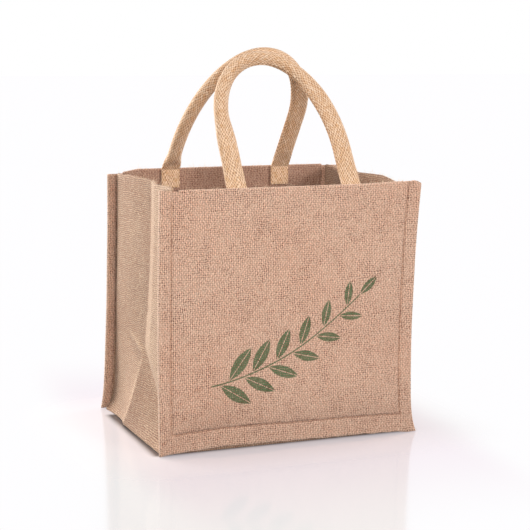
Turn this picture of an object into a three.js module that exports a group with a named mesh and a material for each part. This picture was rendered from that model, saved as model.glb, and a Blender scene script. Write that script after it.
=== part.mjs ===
// A carrier bag with six cells, sewn from jute, with two padded webbing handles.
//
// The bag stands on the XY plane: X runs along the front, Y to the rear, Z up,
// with the origin at the middle of the base. All sizes are in millimetres.

import * as THREE from 'three';

// Driving dimensions of the cloth body.
const BAG_WIDTH = 276; // across the front at the rim, over both side fins
const BAG_DEPTH = 200; // front face to rear face
const BAG_HEIGHT = 260; // floor to rim
const CLOTH = 1.6; // one layer of jute
const LAYER_GAP = 0.3; // air between two layers that are sewn together
const SIDE_FIN = 12; // side seam allowance, turned outwards
const BASE_FIN = 18; // base seam allowance, turned down
const FIN_LIFT = 1; // lower edge of the fins above the floor
const SEAM_FOLD = 1.2; // size of the turn where the gusset leaves its seam
const BASE_ROLL = 15; // depth over which the base drops from its seam to the floor
const TOP_HEM = 25; // depth of the cloth turned in at the rim
const HEM_STEP = 0.6; // slope at the edge of the turned-in cloth
const HEM_SETBACK = 5; // where the turned-in cloth ends, short of the side seam
const SEAM_WAIST = 3; // how far the side seams draw in at half height
const CORNER_FLARE = 2; // how far the lower corners of the fins stand out
const FLARE_HEIGHT = 20; // height over which that flare dies away

// The folds pressed into each side of the gusset: one crease that forks above the base.
const CREASE_Y = -6; // the crease lies just in front of the middle
const CREASE_WIDTH = 1;
const CREASE_DEPTH = 7.5; // in the upper part of the side
const CREASE_FULL_HEIGHT = 140; // from here up the crease has its full depth
const CREASE_RETURN = 45; // in front of the crease, over which the side is flush again
const FORK_HEIGHT = 80; // where the crease splits in two
const FORK_DEPTH = 2;
const FORK_REAR_FOOT = 26; // where the two branches reach the floor
const FORK_FRONT_FOOT = -68;
const FOOT_FLARE = 11; // how far the foot of the side stands out between the fins
const FOOT_TUCK = 10; // over which that foot tucks back into the seams
const FOOT_CURL = 12; // height over which the foot behind the fork curls out

// Dividers that make six cells.
const DIVIDER_HEIGHT = 175;
const CELL_PITCH = 84; // between the two cross walls of each row
const DIVIDER_TAB = 12; // sewn tab at each end of a cross wall
const DIVIDER_CLEARANCE = 2; // of the wall ends from the folds round them

// Handles: webbing folded lengthwise round a rope. Neither arch is even: each leg has its own straight part.
const FRONT_HANDLE_RISE = 148; // rim to top of the arch, along the handle
const FRONT_HANDLE_TOP = -4; // sideways place of the top
const FRONT_LEFT_FOOT = -59.7; // sideways place of the leg
const FRONT_LEFT_STRAIGHT = 75; // straight part of the leg above the rim
const FRONT_RIGHT_FOOT = 61.8;
const FRONT_RIGHT_STRAIGHT = 40;
const REAR_HANDLE_RISE = 158.5;
const REAR_HANDLE_TOP = 6;
const REAR_LEFT_FOOT = -62.7;
const REAR_LEFT_STRAIGHT = 20;
const REAR_RIGHT_FOOT = 64.5;
const REAR_RIGHT_STRAIGHT = 75;
const GRIP_DIAMETER = 14; // over the padded part
const FLAT_WIDTH = 20.5; // of the folded webbing where it is sewn on
const FLAT_THICKNESS = 3.2;
const FLAT_LENGTH = 8; // above the rim, before the rope begins to fill it
const FILL_LENGTH = 34; // over which the flat end becomes round
const TAPE = 1.4; // one layer of webbing
const SEAM_SLIT = 6; // opening between the two edges of the webbing, in degrees
const ROPE_CLEARANCE = 0.4;
const HANDLE_END_LENGTH = 20; // sewn to the hem
const HANDLE_END_CORNER = 1.2;
const HANDLES_MEET_Y = -6.5; // plane in which the two arches lean on each other
const HANDLES_APART = 0.4;

// Values that follow from the driving dimensions.
const PANEL_Y = BAG_DEPTH / 2; // outer face of a panel
const FLANGE_Y = PANEL_Y - 2 * CLOTH - LAYER_GAP; // bag side of the gusset's flanges
const HEM_Y = PANEL_Y - 2 * CLOTH; // inner face of the hem
const HEM_START = BAG_HEIGHT - TOP_HEM;

// Materials.
const jute = new THREE.MeshStandardMaterial({ color: 0xcda88a, roughness: 0.95, metalness: 0 });
const gussetJute = new THREE.MeshStandardMaterial({ color: 0xd3b083, roughness: 0.95, metalness: 0 });
const innerJute = new THREE.MeshStandardMaterial({ color: 0xb98f68, roughness: 0.95, metalness: 0 });
const webbing = new THREE.MeshStandardMaterial({ color: 0xe0bb86, roughness: 0.85, metalness: 0 });
const rope = new THREE.MeshStandardMaterial({ color: 0xd8c8a8, roughness: 0.9, metalness: 0 });

const lerp = THREE.MathUtils.lerp;

/** Stations from a to b in equal steps, both ends included. */
function stations(a, b, steps) {
  return Array.from({ length: steps + 1 }, (_, k) => lerp(a, b, k / steps));
}

/** Closed solid between two grids of points of the same size; `face` looks out of the solid. */
function solidBetween(face, back, splitOtherWay = () => false) {
  const rows = face.length;
  const columns = face[0].length;
  const backStart = rows * columns;
  const positions = [...face.flat(), ...back.flat()].flatMap((p) => [p.x, p.y, p.z]);
  const index = [];
  const quad = (a, b, c, d, other) => {
    index.push(...(other ? [a, b, d, b, c, d] : [a, b, c, a, c, d]));
  };
  for (let i = 0; i + 1 < rows; i += 1) {
    for (let j = 0; j + 1 < columns; j += 1) {
      const a = i * columns + j;
      const b = a + 1;
      const c = b + columns;
      const d = a + columns;
      const other = splitOtherWay(i, j);
      quad(a, b, c, d, other);
      quad(backStart + b, backStart + a, backStart + d, backStart + c, other);
    }
  }
  const border = [];
  for (let j = 0; j < columns; j += 1) border.push(j);
  for (let i = 1; i < rows; i += 1) border.push(i * columns + columns - 1);
  for (let j = columns - 2; j >= 0; j -= 1) border.push((rows - 1) * columns + j);
  for (let i = rows - 2; i > 0; i -= 1) border.push(i * columns);
  border.forEach((from, k) => {
    const to = border[(k + 1) % border.length];
    quad(to, from, backStart + from, backStart + to, false);
  });
  const geometry = new THREE.BufferGeometry();
  geometry.setAttribute('position', new THREE.Float32BufferAttribute(positions, 3));
  geometry.setIndex(index);
  geometry.computeVertexNormals();
  return geometry;
}

/** Direction in which each point of a grid is pushed back so that every face moves by one unit. */
function backDirections(face) {
  const sums = face.map((row) => row.map(() => ({ normal: new THREE.Vector3(), count: 0 })));
  for (let i = 0; i + 1 < face.length; i += 1) {
    for (let j = 0; j + 1 < face[0].length; j += 1) {
      const across = face[i + 1][j + 1].clone().sub(face[i][j]);
      const along = face[i + 1][j].clone().sub(face[i][j + 1]);
      const normal = along.cross(across).normalize();
      [[i, j], [i + 1, j], [i, j + 1], [i + 1, j + 1]].forEach(([row, column]) => {
        sums[row][column].normal.add(normal);
        sums[row][column].count += 1;
      });
    }
  }
  return sums.map((row) => row.map(({ normal, count }) => {
    const mean = normal.divideScalar(count);
    return mean.divideScalar(mean.lengthSq());
  }));
}

/** Cloth laid on a grid of points, its thickness given for each point and kept behind the grid. */
function cloth(face, thicknessAt = () => CLOTH, splitOtherWay) {
  const away = backDirections(face);
  const back = face.map((row, i) => row.map((point, j) => (
    point.clone().addScaledVector(away[i][j], thicknessAt(i, j))
  )));
  return solidBetween(face, back, splitOtherWay);
}

/** Half width over the fins at a height: drawn in at half height, flared at the foot. */
function finEdge(z) {
  const t = z / BAG_HEIGHT;
  return BAG_WIDTH / 2 - SEAM_WAIST * 4 * t * (1 - t) + CORNER_FLARE * Math.exp(-z / FLARE_HEIGHT);
}

/** Share of the fork's height, from 0 at the floor to 1 where the branches meet. */
function forkShare(z) {
  return THREE.MathUtils.clamp(z / FORK_HEIGHT, 0, 1);
}

/** The two branches of the fork at a height; above it they run together as the crease. */
function rearBranch(z) {
  return lerp(FORK_REAR_FOOT, CREASE_Y + CREASE_WIDTH / 2, forkShare(z));
}

function frontBranch(z) {
  return lerp(FORK_FRONT_FOOT, CREASE_Y - CREASE_WIDTH / 2, forkShare(z));
}

/** How far a side of the gusset lies inside its seams: in along the crease, out at the foot. */
function sideFold(y, z) {
  const share = forkShare(z);
  const rise = THREE.MathUtils.smoothstep(z, FORK_HEIGHT, CREASE_FULL_HEIGHT);
  const depth = z < FORK_HEIGHT ? lerp(-FOOT_FLARE, FORK_DEPTH, share) : lerp(FORK_DEPTH, CREASE_DEPTH, rise);
  const tuck = THREE.MathUtils.clamp((FLANGE_Y - Math.abs(y)) / FOOT_TUCK, 0, 1);
  const rear = rearBranch(z);
  const front = frontBranch(z);
  if (y > rear) {
    const straight = (FLANGE_Y - y) / (FLANGE_Y - rear);
    return depth * lerp(straight, tuck, Math.exp(-z / FOOT_CURL));
  }
  if (y < front) {
    const flush = Math.max(0, 1 - (front - y) / CREASE_RETURN);
    return depth * lerp(tuck, flush, share);
  }
  return depth;
}

// The front and rear panels, each with its top edge turned in between the side seams.
function panel(side) {
  const heights = [FIN_LIFT, BASE_FIN, ...stations(BASE_FIN, HEM_START - HEM_STEP, 5).slice(1),
    HEM_START, BAG_HEIGHT];
  const seam = BAG_WIDTH / 2 - SIDE_FIN;
  const hemEnd = seam - HEM_SETBACK;
  const columns = [-seam, -hemEnd - HEM_STEP, ...stations(-hemEnd, hemEnd, 6), hemEnd + HEM_STEP, seam];
  const line = (z) => [-finEdge(z), ...columns, finEdge(z)];
  const face = heights.map((z) => {
    const row = line(z).map((x) => new THREE.Vector3(x, side * PANEL_Y, z));
    return side < 0 ? row : row.reverse();
  });
  const inHem = (i, j) => {
    const point = face[i][j];
    return point.z >= HEM_START && Math.abs(point.x) <= hemEnd;
  };
  return cloth(face, (i, j) => (inHem(i, j) ? 2 * CLOTH : CLOTH));
}

// One strip that makes the left side, the base and the right side, with a flange along both edges.
function gusset() {
  const heights = [BAG_HEIGHT, HEM_START, ...stations(HEM_START - HEM_STEP, CREASE_FULL_HEIGHT, 2),
    ...stations(CREASE_FULL_HEIGHT, FORK_HEIGHT, 2).slice(1), ...stations(FORK_HEIGHT, 0, 4).slice(1)];
  const leftSide = heights.map((z) => ({ across: -1, height: z / BAG_HEIGHT }));
  const rightSide = heights.map((z) => ({ across: 1, height: z / BAG_HEIGHT })).reverse();
  const base = stations(-1, 1, 6).slice(1, -1).map((across) => ({ across, height: 0 }));
  const rows = [...leftSide, ...base, ...rightSide];

  // Across the strip: seam edge, seam, roll down to the base and flat web, the same at both edges.
  const rollStart = FLANGE_Y - SEAM_FOLD;
  const flat = FLANGE_Y - BASE_ROLL;
  const edge = [
    { y: FLANGE_Y, inset: 0, low: FIN_LIFT },
    { y: FLANGE_Y, inset: SIDE_FIN - SEAM_FOLD, low: BASE_FIN - SEAM_FOLD },
    { y: rollStart, inset: SIDE_FIN, low: BASE_FIN },
    { y: lerp(rollStart, flat, 0.4), inset: SIDE_FIN, low: BASE_FIN * 0.38 },
    { y: flat, inset: SIDE_FIN, low: 0 },
  ];
  const web = [
    (z) => lerp(lerp(-flat, FORK_FRONT_FOOT, 0.5), CREASE_Y - CREASE_RETURN, forkShare(z)),
    frontBranch,
    rearBranch,
    (z) => lerp(rearBranch(z), flat, 1 / 3),
    (z) => lerp(rearBranch(z), flat, 2 / 3),
  ];
  const columns = [
    ...edge.map(({ y, inset, low }) => ({ place: () => -y, inset, low })),
    ...web.map((place) => ({ place, inset: SIDE_FIN, low: 0 })),
    ...edge.map(({ y, inset, low }) => ({ place: () => y, inset, low })).reverse(),
  ];

  const face = rows.map(({ across, height }) => columns.map(({ place, inset, low }) => {
    const z = lerp(low, BAG_HEIGHT, height);
    const y = place(z);
    const fold = inset === SIDE_FIN ? sideFold(y, z) : 0;
    return new THREE.Vector3(across * (finEdge(z) - inset - fold), y, z);
  }));
  const hemRow = (i) => rows[i].height >= HEM_START / BAG_HEIGHT;
  const hemColumn = (j) => j >= edge.length && j < columns.length - edge.length;
  return cloth(face, (i, j) => (hemRow(i) && hemColumn(j) ? 2 * CLOTH : CLOTH));
}

// The long wall from side to side; its ends follow the folds in the gusset.
function longDivider() {
  const floor = CLOTH + LAYER_GAP;
  const heights = [...stations(floor, FORK_HEIGHT, 2), ...stations(FORK_HEIGHT, CREASE_FULL_HEIGHT, 2).slice(1),
    DIVIDER_HEIGHT];
  const face = heights.map((z) => {
    const end = finEdge(z) - SIDE_FIN - sideFold(CREASE_Y, z) - CLOTH - DIVIDER_CLEARANCE / 2;
    return stations(-end, end, 6).map((x) => new THREE.Vector3(x, -CLOTH / 2, z));
  });
  return cloth(face);
}

// A cross wall from the long wall to one panel, with a tab sewn to each of them.
function crossDivider(sideX, sideY) {
  const x = sideX * CELL_PITCH / 2;
  const panelEnd = PANEL_Y - 2 * CLOTH - LAYER_GAP;
  const wallEnd = CLOTH / 2 + LAYER_GAP;
  const low = CLOTH + LAYER_GAP;
  const overRoll = BASE_FIN + 2 * CLOTH + DIVIDER_CLEARANCE;
  const rollTop = FLANGE_Y - SEAM_FOLD - 2 * CLOTH;
  const rollFoot = FLANGE_Y - BASE_ROLL - 2 * CLOTH - DIVIDER_CLEARANCE;
  // Plan of the wall's outer face, from the tab on the panel to the tab on the long wall.
  const plan = [
    { x: x + sideX * DIVIDER_TAB, y: panelEnd, low: overRoll },
    { x, y: panelEnd, low: overRoll },
    { x, y: rollTop, low: overRoll },
    { x, y: rollFoot, low },
    { x, y: wallEnd, low },
    { x: x - sideX * DIVIDER_TAB, y: wallEnd, low },
  ];
  const face = plan.map((end) => stations(end.low, DIVIDER_HEIGHT, 1).map((z) => (
    new THREE.Vector3(end.x, sideY * end.y, z)
  )));
  const mirrored = sideX * sideY < 0;
  return cloth(mirrored ? face.map((row) => row.reverse()) : face);
}

/** Half sizes of a handle's section at a height up the handle: flat at the rim, round where padded. */
function sectionSize(height) {
  const fill = THREE.MathUtils.smoothstep(height, FLAT_LENGTH, FLAT_LENGTH + FILL_LENGTH);
  return {
    wide: lerp(FLAT_WIDTH, GRIP_DIAMETER, fill) / 2,
    thick: lerp(FLAT_THICKNESS, GRIP_DIAMETER, fill) / 2,
    power: lerp(0.5, 1, fill),
  };
}

/** Point on a section at an angle from the middle of the loop, less a wall. */
function sectionPoint({ wide, thick, power }, angle, wall) {
  const along = Math.cos(angle);
  const over = Math.sin(angle);
  return {
    along: (wide - wall) * Math.sign(along) * Math.abs(along) ** power,
    over: (thick - wall) * Math.sign(over) * Math.abs(over) ** power,
  };
}

/** One half of a handle's middle line, from the rim up: a straight leg and a quarter of an ellipse. */
function handleHalf({ rise, top }, { foot, straight }, start) {
  const fill = stations(FLAT_LENGTH, FLAT_LENGTH + FILL_LENGTH, 4);
  const legSteps = [start, ...fill.filter((z) => z < straight), straight];
  const leg = legSteps.map((z) => ({ x: foot, z, slope: new THREE.Vector2(0, 1) }));
  const reach = top - foot;
  const height = rise - straight;
  const arch = stations(0, Math.PI / 2, 9).slice(1).map((turn) => ({
    x: top - reach * Math.cos(turn),
    z: straight + height * Math.sin(turn),
    slope: new THREE.Vector2(reach * Math.sin(turn), height * Math.cos(turn)).normalize(),
  }));
  return [...leg, ...arch];
}

/** Middle line of a handle in its own plane: up the left half and down the right one. */
function handleLine(arch, legs, start) {
  const up = handleHalf(arch, legs.left, start);
  const down = handleHalf(arch, legs.right, start).reverse().slice(1);
  down.forEach(({ slope }) => slope.negate());
  return [...up, ...down];
}

/** Grid of points round a handle's middle line; the seam lies along the inside of the loop. */
function handleGrid(line, inward, angles, wall) {
  const planeOffset = inward * (CLOTH + LAYER_GAP + FLAT_THICKNESS / 2);
  return line.map(({ x, z, slope }) => angles.map((angle) => {
    const { along, over } = sectionPoint(sectionSize(z), angle, wall);
    return new THREE.Vector3(
      x + slope.y * along,
      planeOffset + over,
      z - slope.x * along,
    );
  }));
}

// The webbing, folded round so that its two edges meet along the inside of the loop.
function sleeve(line, inward) {
  const slit = THREE.MathUtils.degToRad(SEAM_SLIT / 2);
  const angles = stations(slit, 2 * Math.PI - slit, 18);
  return solidBetween(handleGrid(line, inward, angles, 0), handleGrid(line, inward, angles, TAPE));
}

// The rope inside the padded part.
function ropeCore(line, inward) {
  const sides = 12;
  const wall = TAPE + ROPE_CLEARANCE;
  const filled = line.filter(({ z }) => z >= FLAT_LENGTH + FILL_LENGTH);
  const angles = stations(0, 2 * Math.PI, sides).slice(0, -1);
  const rings = handleGrid(filled, inward, angles, wall);
  const points = rings.flat();
  const index = [];
  for (let i = 0; i + 1 < rings.length; i += 1) {
    for (let j = 0; j < sides; j += 1) {
      const a = i * sides + j;
      const b = i * sides + ((j + 1) % sides);
      index.push(a, b, b + sides, a, b + sides, a + sides);
    }
  }
  const last = points.length - sides;
  for (let j = 1; j + 1 < sides; j += 1) {
    index.push(0, j + 1, j, last, last + j, last + j + 1);
  }
  const geometry = new THREE.BufferGeometry();
  geometry.setAttribute('position', new THREE.Float32BufferAttribute(points.flatMap((p) => [p.x, p.y, p.z]), 3));
  geometry.setIndex(index);
  geometry.computeVertexNormals();
  return geometry;
}

// The end of the webbing, pressed flat and sewn to the inside of the hem.
function handleEnd() {
  const w = FLAT_WIDTH / 2;
  const t = FLAT_THICKNESS / 2;
  const r = HANDLE_END_CORNER;
  const outline = new THREE.Shape();
  outline.moveTo(-w + r, -t);
  outline.lineTo(w - r, -t);
  outline.absarc(w - r, -t + r, r, -Math.PI / 2, 0);
  outline.lineTo(w, t - r);
  outline.absarc(w - r, t - r, r, 0, Math.PI / 2);
  outline.lineTo(-w + r, t);
  outline.absarc(-w + r, t - r, r, Math.PI / 2, Math.PI);
  outline.lineTo(-w, -t + r);
  outline.absarc(-w + r, -t + r, r, Math.PI, 1.5 * Math.PI);
  return new THREE.ExtrudeGeometry(outline, {
    depth: HANDLE_END_LENGTH, bevelEnabled: false, curveSegments: 3,
  });
}

/** Angle from upright at which a handle's arch reaches the plane where the two handles meet. */
function handleLean(side, rise) {
  const planeOffset = CLOTH + LAYER_GAP + FLAT_THICKNESS / 2;
  const archMiddle = HANDLES_MEET_Y + side * (GRIP_DIAMETER + HANDLES_APART) / 2;
  const reach = PANEL_Y - CLOTH - side * archMiddle;
  return Math.asin(reach / Math.hypot(rise, planeOffset)) - Math.atan2(planeOffset, rise);
}

/** Height above the rim's pivot, up the handle, at which the leaning webbing clears the hem. */
function sleeveStart(lean) {
  return (CLOTH + LAYER_GAP) * Math.tan(lean / 2);
}

/** How far below the rim a sewn end stops, just under the leaning webbing. */
function endDrop(lean) {
  const innerFace = CLOTH + LAYER_GAP + FLAT_THICKNESS;
  return innerFace * Math.sin(lean) - sleeveStart(lean) * Math.cos(lean) + LAYER_GAP;
}

const bag = new THREE.Group();

function addPiece(parent, name, geometry, material) {
  const mesh = new THREE.Mesh(geometry, material);
  mesh.name = name;
  parent.add(mesh);
  return mesh;
}

addPiece(bag, 'front_panel', panel(-1), jute);
addPiece(bag, 'rear_panel', panel(1), jute);
addPiece(bag, 'gusset_strip', gusset(), gussetJute);
addPiece(bag, 'long_divider', longDivider(), innerJute);

const rows = [
  {
    row: 'front',
    sideY: -1,
    arch: { rise: FRONT_HANDLE_RISE, top: FRONT_HANDLE_TOP },
    legs: {
      left: { foot: FRONT_LEFT_FOOT, straight: FRONT_LEFT_STRAIGHT },
      right: { foot: FRONT_RIGHT_FOOT, straight: FRONT_RIGHT_STRAIGHT },
    },
  },
  {
    row: 'rear',
    sideY: 1,
    arch: { rise: REAR_HANDLE_RISE, top: REAR_HANDLE_TOP },
    legs: {
      left: { foot: REAR_LEFT_FOOT, straight: REAR_LEFT_STRAIGHT },
      right: { foot: REAR_RIGHT_FOOT, straight: REAR_RIGHT_STRAIGHT },
    },
  },
];
const columns = [{ column: 'left', sideX: -1 }, { column: 'right', sideX: 1 }];

for (const { row, sideY, arch, legs } of rows) {
  const lean = handleLean(sideY, arch.rise);
  for (const { column, sideX } of columns) {
    addPiece(bag, `${row}_${column}_divider`, crossDivider(sideX, sideY), innerJute);
    const end = addPiece(bag, `${row}_handle_${column}_end`, handleEnd(), webbing);
    const endY = sideY * (HEM_Y - LAYER_GAP - FLAT_THICKNESS / 2);
    const endZ = BAG_HEIGHT - endDrop(lean) - HANDLE_END_LENGTH;
    end.position.set(legs[column].foot, endY, endZ);
  }
  // Each handle turns about the middle of the rim's thickness.
  const handle = new THREE.Group();
  handle.position.set(0, sideY * (PANEL_Y - CLOTH), BAG_HEIGHT);
  handle.rotation.x = sideY * lean;
  const line = handleLine(arch, legs, sleeveStart(lean));
  addPiece(handle, `${row}_handle_sleeve`, sleeve(line, -sideY), webbing);
  addPiece(handle, `${row}_handle_core`, ropeCore(line, -sideY), rope);
  bag.add(handle);
}

export default bag;
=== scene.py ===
# %% [markdown]
# # A jute bag with six cells
# The real bag is sewn from coarse jute: two panels, one long strip that makes both sides and the base,
# and five inner walls. Two padded webbing handles lean on each other over its mouth.
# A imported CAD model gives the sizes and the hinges, and this lesson dresses it with cloth that has folds,
# seams, weave and print. Every piece is a grid of points worked out with numpy, because cloth is a surface
# that two numbers can walk over: one along the thread and one across it.

import bmesh
import bpy
import numpy as np
from mathutils import Matrix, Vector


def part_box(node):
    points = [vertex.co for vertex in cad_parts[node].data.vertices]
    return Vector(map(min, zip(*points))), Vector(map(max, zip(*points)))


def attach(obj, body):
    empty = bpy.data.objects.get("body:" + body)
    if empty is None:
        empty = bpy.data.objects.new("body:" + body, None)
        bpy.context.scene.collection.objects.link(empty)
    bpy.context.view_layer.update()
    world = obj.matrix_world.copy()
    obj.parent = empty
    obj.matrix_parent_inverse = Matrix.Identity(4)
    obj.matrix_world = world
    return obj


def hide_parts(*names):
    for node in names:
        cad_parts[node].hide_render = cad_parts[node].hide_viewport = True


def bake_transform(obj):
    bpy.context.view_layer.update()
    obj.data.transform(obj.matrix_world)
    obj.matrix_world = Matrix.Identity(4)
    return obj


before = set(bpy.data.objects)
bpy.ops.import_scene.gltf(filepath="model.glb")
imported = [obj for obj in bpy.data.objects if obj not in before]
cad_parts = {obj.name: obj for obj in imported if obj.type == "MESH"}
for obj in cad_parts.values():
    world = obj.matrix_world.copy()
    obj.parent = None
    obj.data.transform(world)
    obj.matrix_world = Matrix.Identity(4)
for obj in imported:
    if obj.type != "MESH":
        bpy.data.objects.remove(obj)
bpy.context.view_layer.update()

# %% [markdown]
# ## Sizes
# The outer faces and the rim come from the CAD panels, so that the cloth lies where the solids lie.
# The side seams of a sewn bag are never quite straight: each of the four upright fins has its own width at
# the rim and at the foot, a waist where the seam draws in or bows out, and a flare at the lower corner.

# %% Measure the frame
MM = 0.001
panel_low, panel_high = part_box("front_panel")
FACE = -panel_low.y  # outer face of a panel, from the middle of the bag
RIM = panel_high.z
HALF_WIDTH = 138 * MM  # of the cut panels
CLOTH = 1.5 * MM
LAYER_GAP = 0.2 * MM
BASE_FIN = 19 * MM  # seam allowance of the base, turned down
FIN_LIFT = 0.4 * MM
FLARE_HEIGHT = 14 * MM
FIN_EDGES = {  # half widths, and the width of the seam allowance itself, in millimetres
    ("front", -1): {"top": 139.3, "foot": 138.8, "waist": -1.3, "flare": 0, "fin": 12.3},
    ("front", 1): {"top": 138.8, "foot": 135, "waist": 4.2, "flare": 6, "fin": 14.5},
    ("rear", -1): {"top": 132.6, "foot": 138.6, "waist": 1.5, "flare": 2.4, "fin": 11.5},
    ("rear", 1): {"top": 135, "foot": 138.5, "waist": 3, "flare": 2, "fin": 12},
}
SIDE_OF = {"front": -1, "rear": 1}


def rise(value, start, end):
    """Smooth step from 0 at start to 1 at end: three times the square less twice the cube of the share."""
    share = np.clip((value - start) / (end - start), 0, 1)
    return share * share * (3 - 2 * share)


def steps_of(table, value):
    """Sum of smooth steps. A row gives height, direction, start and end, with lengths in millimetres."""
    return sum(high * MM * rise(way * value, start * MM, end * MM) for high, way, start, end in table)


def bell(value, width):
    """Bell curve: e to the power of minus the square of the value over the width."""
    return np.exp(-(value / width) ** 2)


def unit(vectors):
    """Vectors over their lengths."""
    return vectors / np.linalg.norm(vectors, axis=-1, keepdims=True)


def fin_edge(row, side, height):
    """x of a fin's outer edge: a line from foot to rim, less a parabola at half height, plus a flare
    that dies away upwards."""
    edge = FIN_EDGES[row, side]
    share = height / RIM
    width = edge["foot"] + (edge["top"] - edge["foot"]) * share
    width = width - edge["waist"] * 4 * share * (1 - share)
    width = width + edge["flare"] * np.exp(-height / FLARE_HEIGHT)
    return side * width * MM


def fin_width(row, side):
    """Distance from a fin's outer edge to its seam."""
    return FIN_EDGES[row, side]["fin"] * MM


print("faces at", round(FACE, 4), "rim at", round(RIM, 4))

# %% [markdown]
# ## Camera
# The picture was taken from the front left, a little above the rim. Turning the angles into three
# directions (forward, right and up) gives the camera's matrix without any guessing by hand.

# %% Camera
AZIMUTH = np.radians(22.366)
ELEVATION = np.radians(9.607)
ROLL = np.radians(0.722)
CAMERA_PLACE = (-0.5815, -1.4366, 0.4289)
PICTURE = 530  # pixels along a side
FOCAL_PIXELS = 1504.0
SENSOR = 36  # millimetres


def matrix_of(right, up, back, at):
    """Matrix whose columns are three directions and a place."""
    return Matrix(np.vstack([np.stack([right, up, back, at], axis=1), [0, 0, 0, 1]]).tolist())


def camera_matrix():
    """Sines and cosines of azimuth and elevation give forward; roll turns right and up about it."""
    forward = np.array([
        np.sin(AZIMUTH) * np.cos(ELEVATION), np.cos(AZIMUTH) * np.cos(ELEVATION), -np.sin(ELEVATION)])
    level = np.array([np.cos(AZIMUTH), -np.sin(AZIMUTH), 0])
    above = np.cross(level, forward)
    right = level * np.cos(ROLL) + above * np.sin(ROLL)
    up = above * np.cos(ROLL) - level * np.sin(ROLL)
    return matrix_of(right, up, -forward, CAMERA_PLACE)


camera = bpy.data.objects.new("camera", bpy.data.cameras.new("camera"))
bpy.context.scene.collection.objects.link(camera)
camera.matrix_world = camera_matrix()
camera.data.sensor_width = SENSOR
camera.data.lens = SENSOR * FOCAL_PIXELS / PICTURE
bpy.context.scene.camera = camera
print("lens", round(camera.data.lens, 1), "mm")

# %% [markdown]
# ## Nodes in short
# A material is a graph of small nodes. Here a Wire is the output of one node, and it can be added and
# multiplied like a number: each sign places one Math node. A pattern then reads like the formula it is,
# and the graph in Blender still shows every step.

# %% Wires
class Wire:
    """Output of a node. Each sign of arithmetic on it places one Math node in the same tree."""

    def __init__(self, tree, socket):
        self.tree = tree
        self.socket = socket

    def math(self, operation, *others):
        """Math node with this wire as its first input."""
        return wire_of(self.tree, "Math", dict(enumerate((self, *others))), operation=operation)

    def __add__(self, other):
        return self.math("ADD", other)

    def __sub__(self, other):
        return self.math("SUBTRACT", other)

    def __rsub__(self, other):
        return wire_of(self.tree, "Math", {0: other, 1: self}, operation="SUBTRACT")

    def __mul__(self, other):
        return self.math("MULTIPLY", other)

    def __truediv__(self, other):
        return self.math("DIVIDE", other)


def add_node(tree, kind, inputs=None, **settings):
    """New node of a kind; inputs maps socket names or numbers to values or wires."""
    node = tree.nodes.new("ShaderNode" + kind)
    for key, value in settings.items():
        setattr(node, key, value)
    for key, value in (inputs or {}).items():
        if isinstance(value, Wire):
            tree.links.new(value.socket, node.inputs[key])
        else:
            node.inputs[key].default_value = value
    return node


def wire_of(tree, kind, inputs=None, output=0, **settings):
    """One output of a new node."""
    return Wire(tree, add_node(tree, kind, inputs, **settings).outputs[output])


def wires_of(tree, node):
    """All outputs of a node by name."""
    return {socket.name: Wire(tree, socket) for socket in node.outputs}


print("wires add, subtract, multiply and divide")

# %% Node helpers
WHITE = (1, 1, 1, 1)


def vector_of(operation, first, *others):
    """Output of one Vector Math node: a number for lengths and dot products, else a vector."""
    output = "Value" if operation in ("LENGTH", "DOT_PRODUCT") else "Vector"
    inputs = dict(enumerate((first, *others)))
    return wire_of(first.tree, "VectorMath", inputs, output, operation=operation)


def parts_of(vector):
    """The x and y of a vector."""
    parts = wires_of(vector.tree, add_node(vector.tree, "SeparateXYZ", {0: vector}))
    return parts["X"], parts["Y"]


def ramp(value, low, high, start=0.0, end=1.0, kind="LINEAR"):
    """From start to end while the value goes from low to high, and held outside."""
    inputs = {"Value": value, "From Min": low, "From Max": high, "To Min": start, "To Max": end}
    return wire_of(value.tree, "MapRange", inputs, interpolation_type=kind)


def mixed(share, first, second):
    """Colour between two colours; the share is held between 0 and 1."""
    return wire_of(share.tree, "Mix", {"Factor": share, 6: first, 7: second}, 2, data_type="RGBA")


def noise_on(vector, scale, detail=2.0, output="Fac"):
    """Cloudy noise with so many clouds to the unit."""
    return wire_of(vector.tree, "TexNoise", {"Vector": vector, "Scale": scale, "Detail": detail}, output)


def srgb(red, green, blue):
    """Linear colour of a screen colour given from 0 to 255."""
    share = np.array([red, green, blue]) / 255
    linear = np.where(share <= 0.04045, share / 12.92, ((share + 0.055) / 1.055) ** 2.4)
    return (*linear.tolist(), 1.0)


def new_group(name, inputs, outputs):
    """Node group with float outputs, and the wires of its inputs; inputs maps names to socket kinds."""
    group = bpy.data.node_groups.new(name, "ShaderNodeTree")
    for label, kind in inputs.items():
        group.interface.new_socket(label, in_out="INPUT", socket_type="NodeSocket" + kind)
    for label in outputs:
        group.interface.new_socket(label, in_out="OUTPUT", socket_type="NodeSocketFloat")
    return group, wires_of(group, group.nodes.new("NodeGroupInput"))


def close_group(group, results):
    """Plugs a wire into every output of a group."""
    leave = group.nodes.new("NodeGroupOutput")
    for label, wire in results.items():
        group.links.new(wire.socket, leave.inputs[label])
    print(group.name, "has", len(group.nodes), "nodes")
    return group


def use_group(tree, group, inputs):
    """Outputs by name of a group placed in a tree."""
    return wires_of(tree, add_node(tree, "Group", inputs, node_tree=group))


print("node helpers ready")
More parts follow.
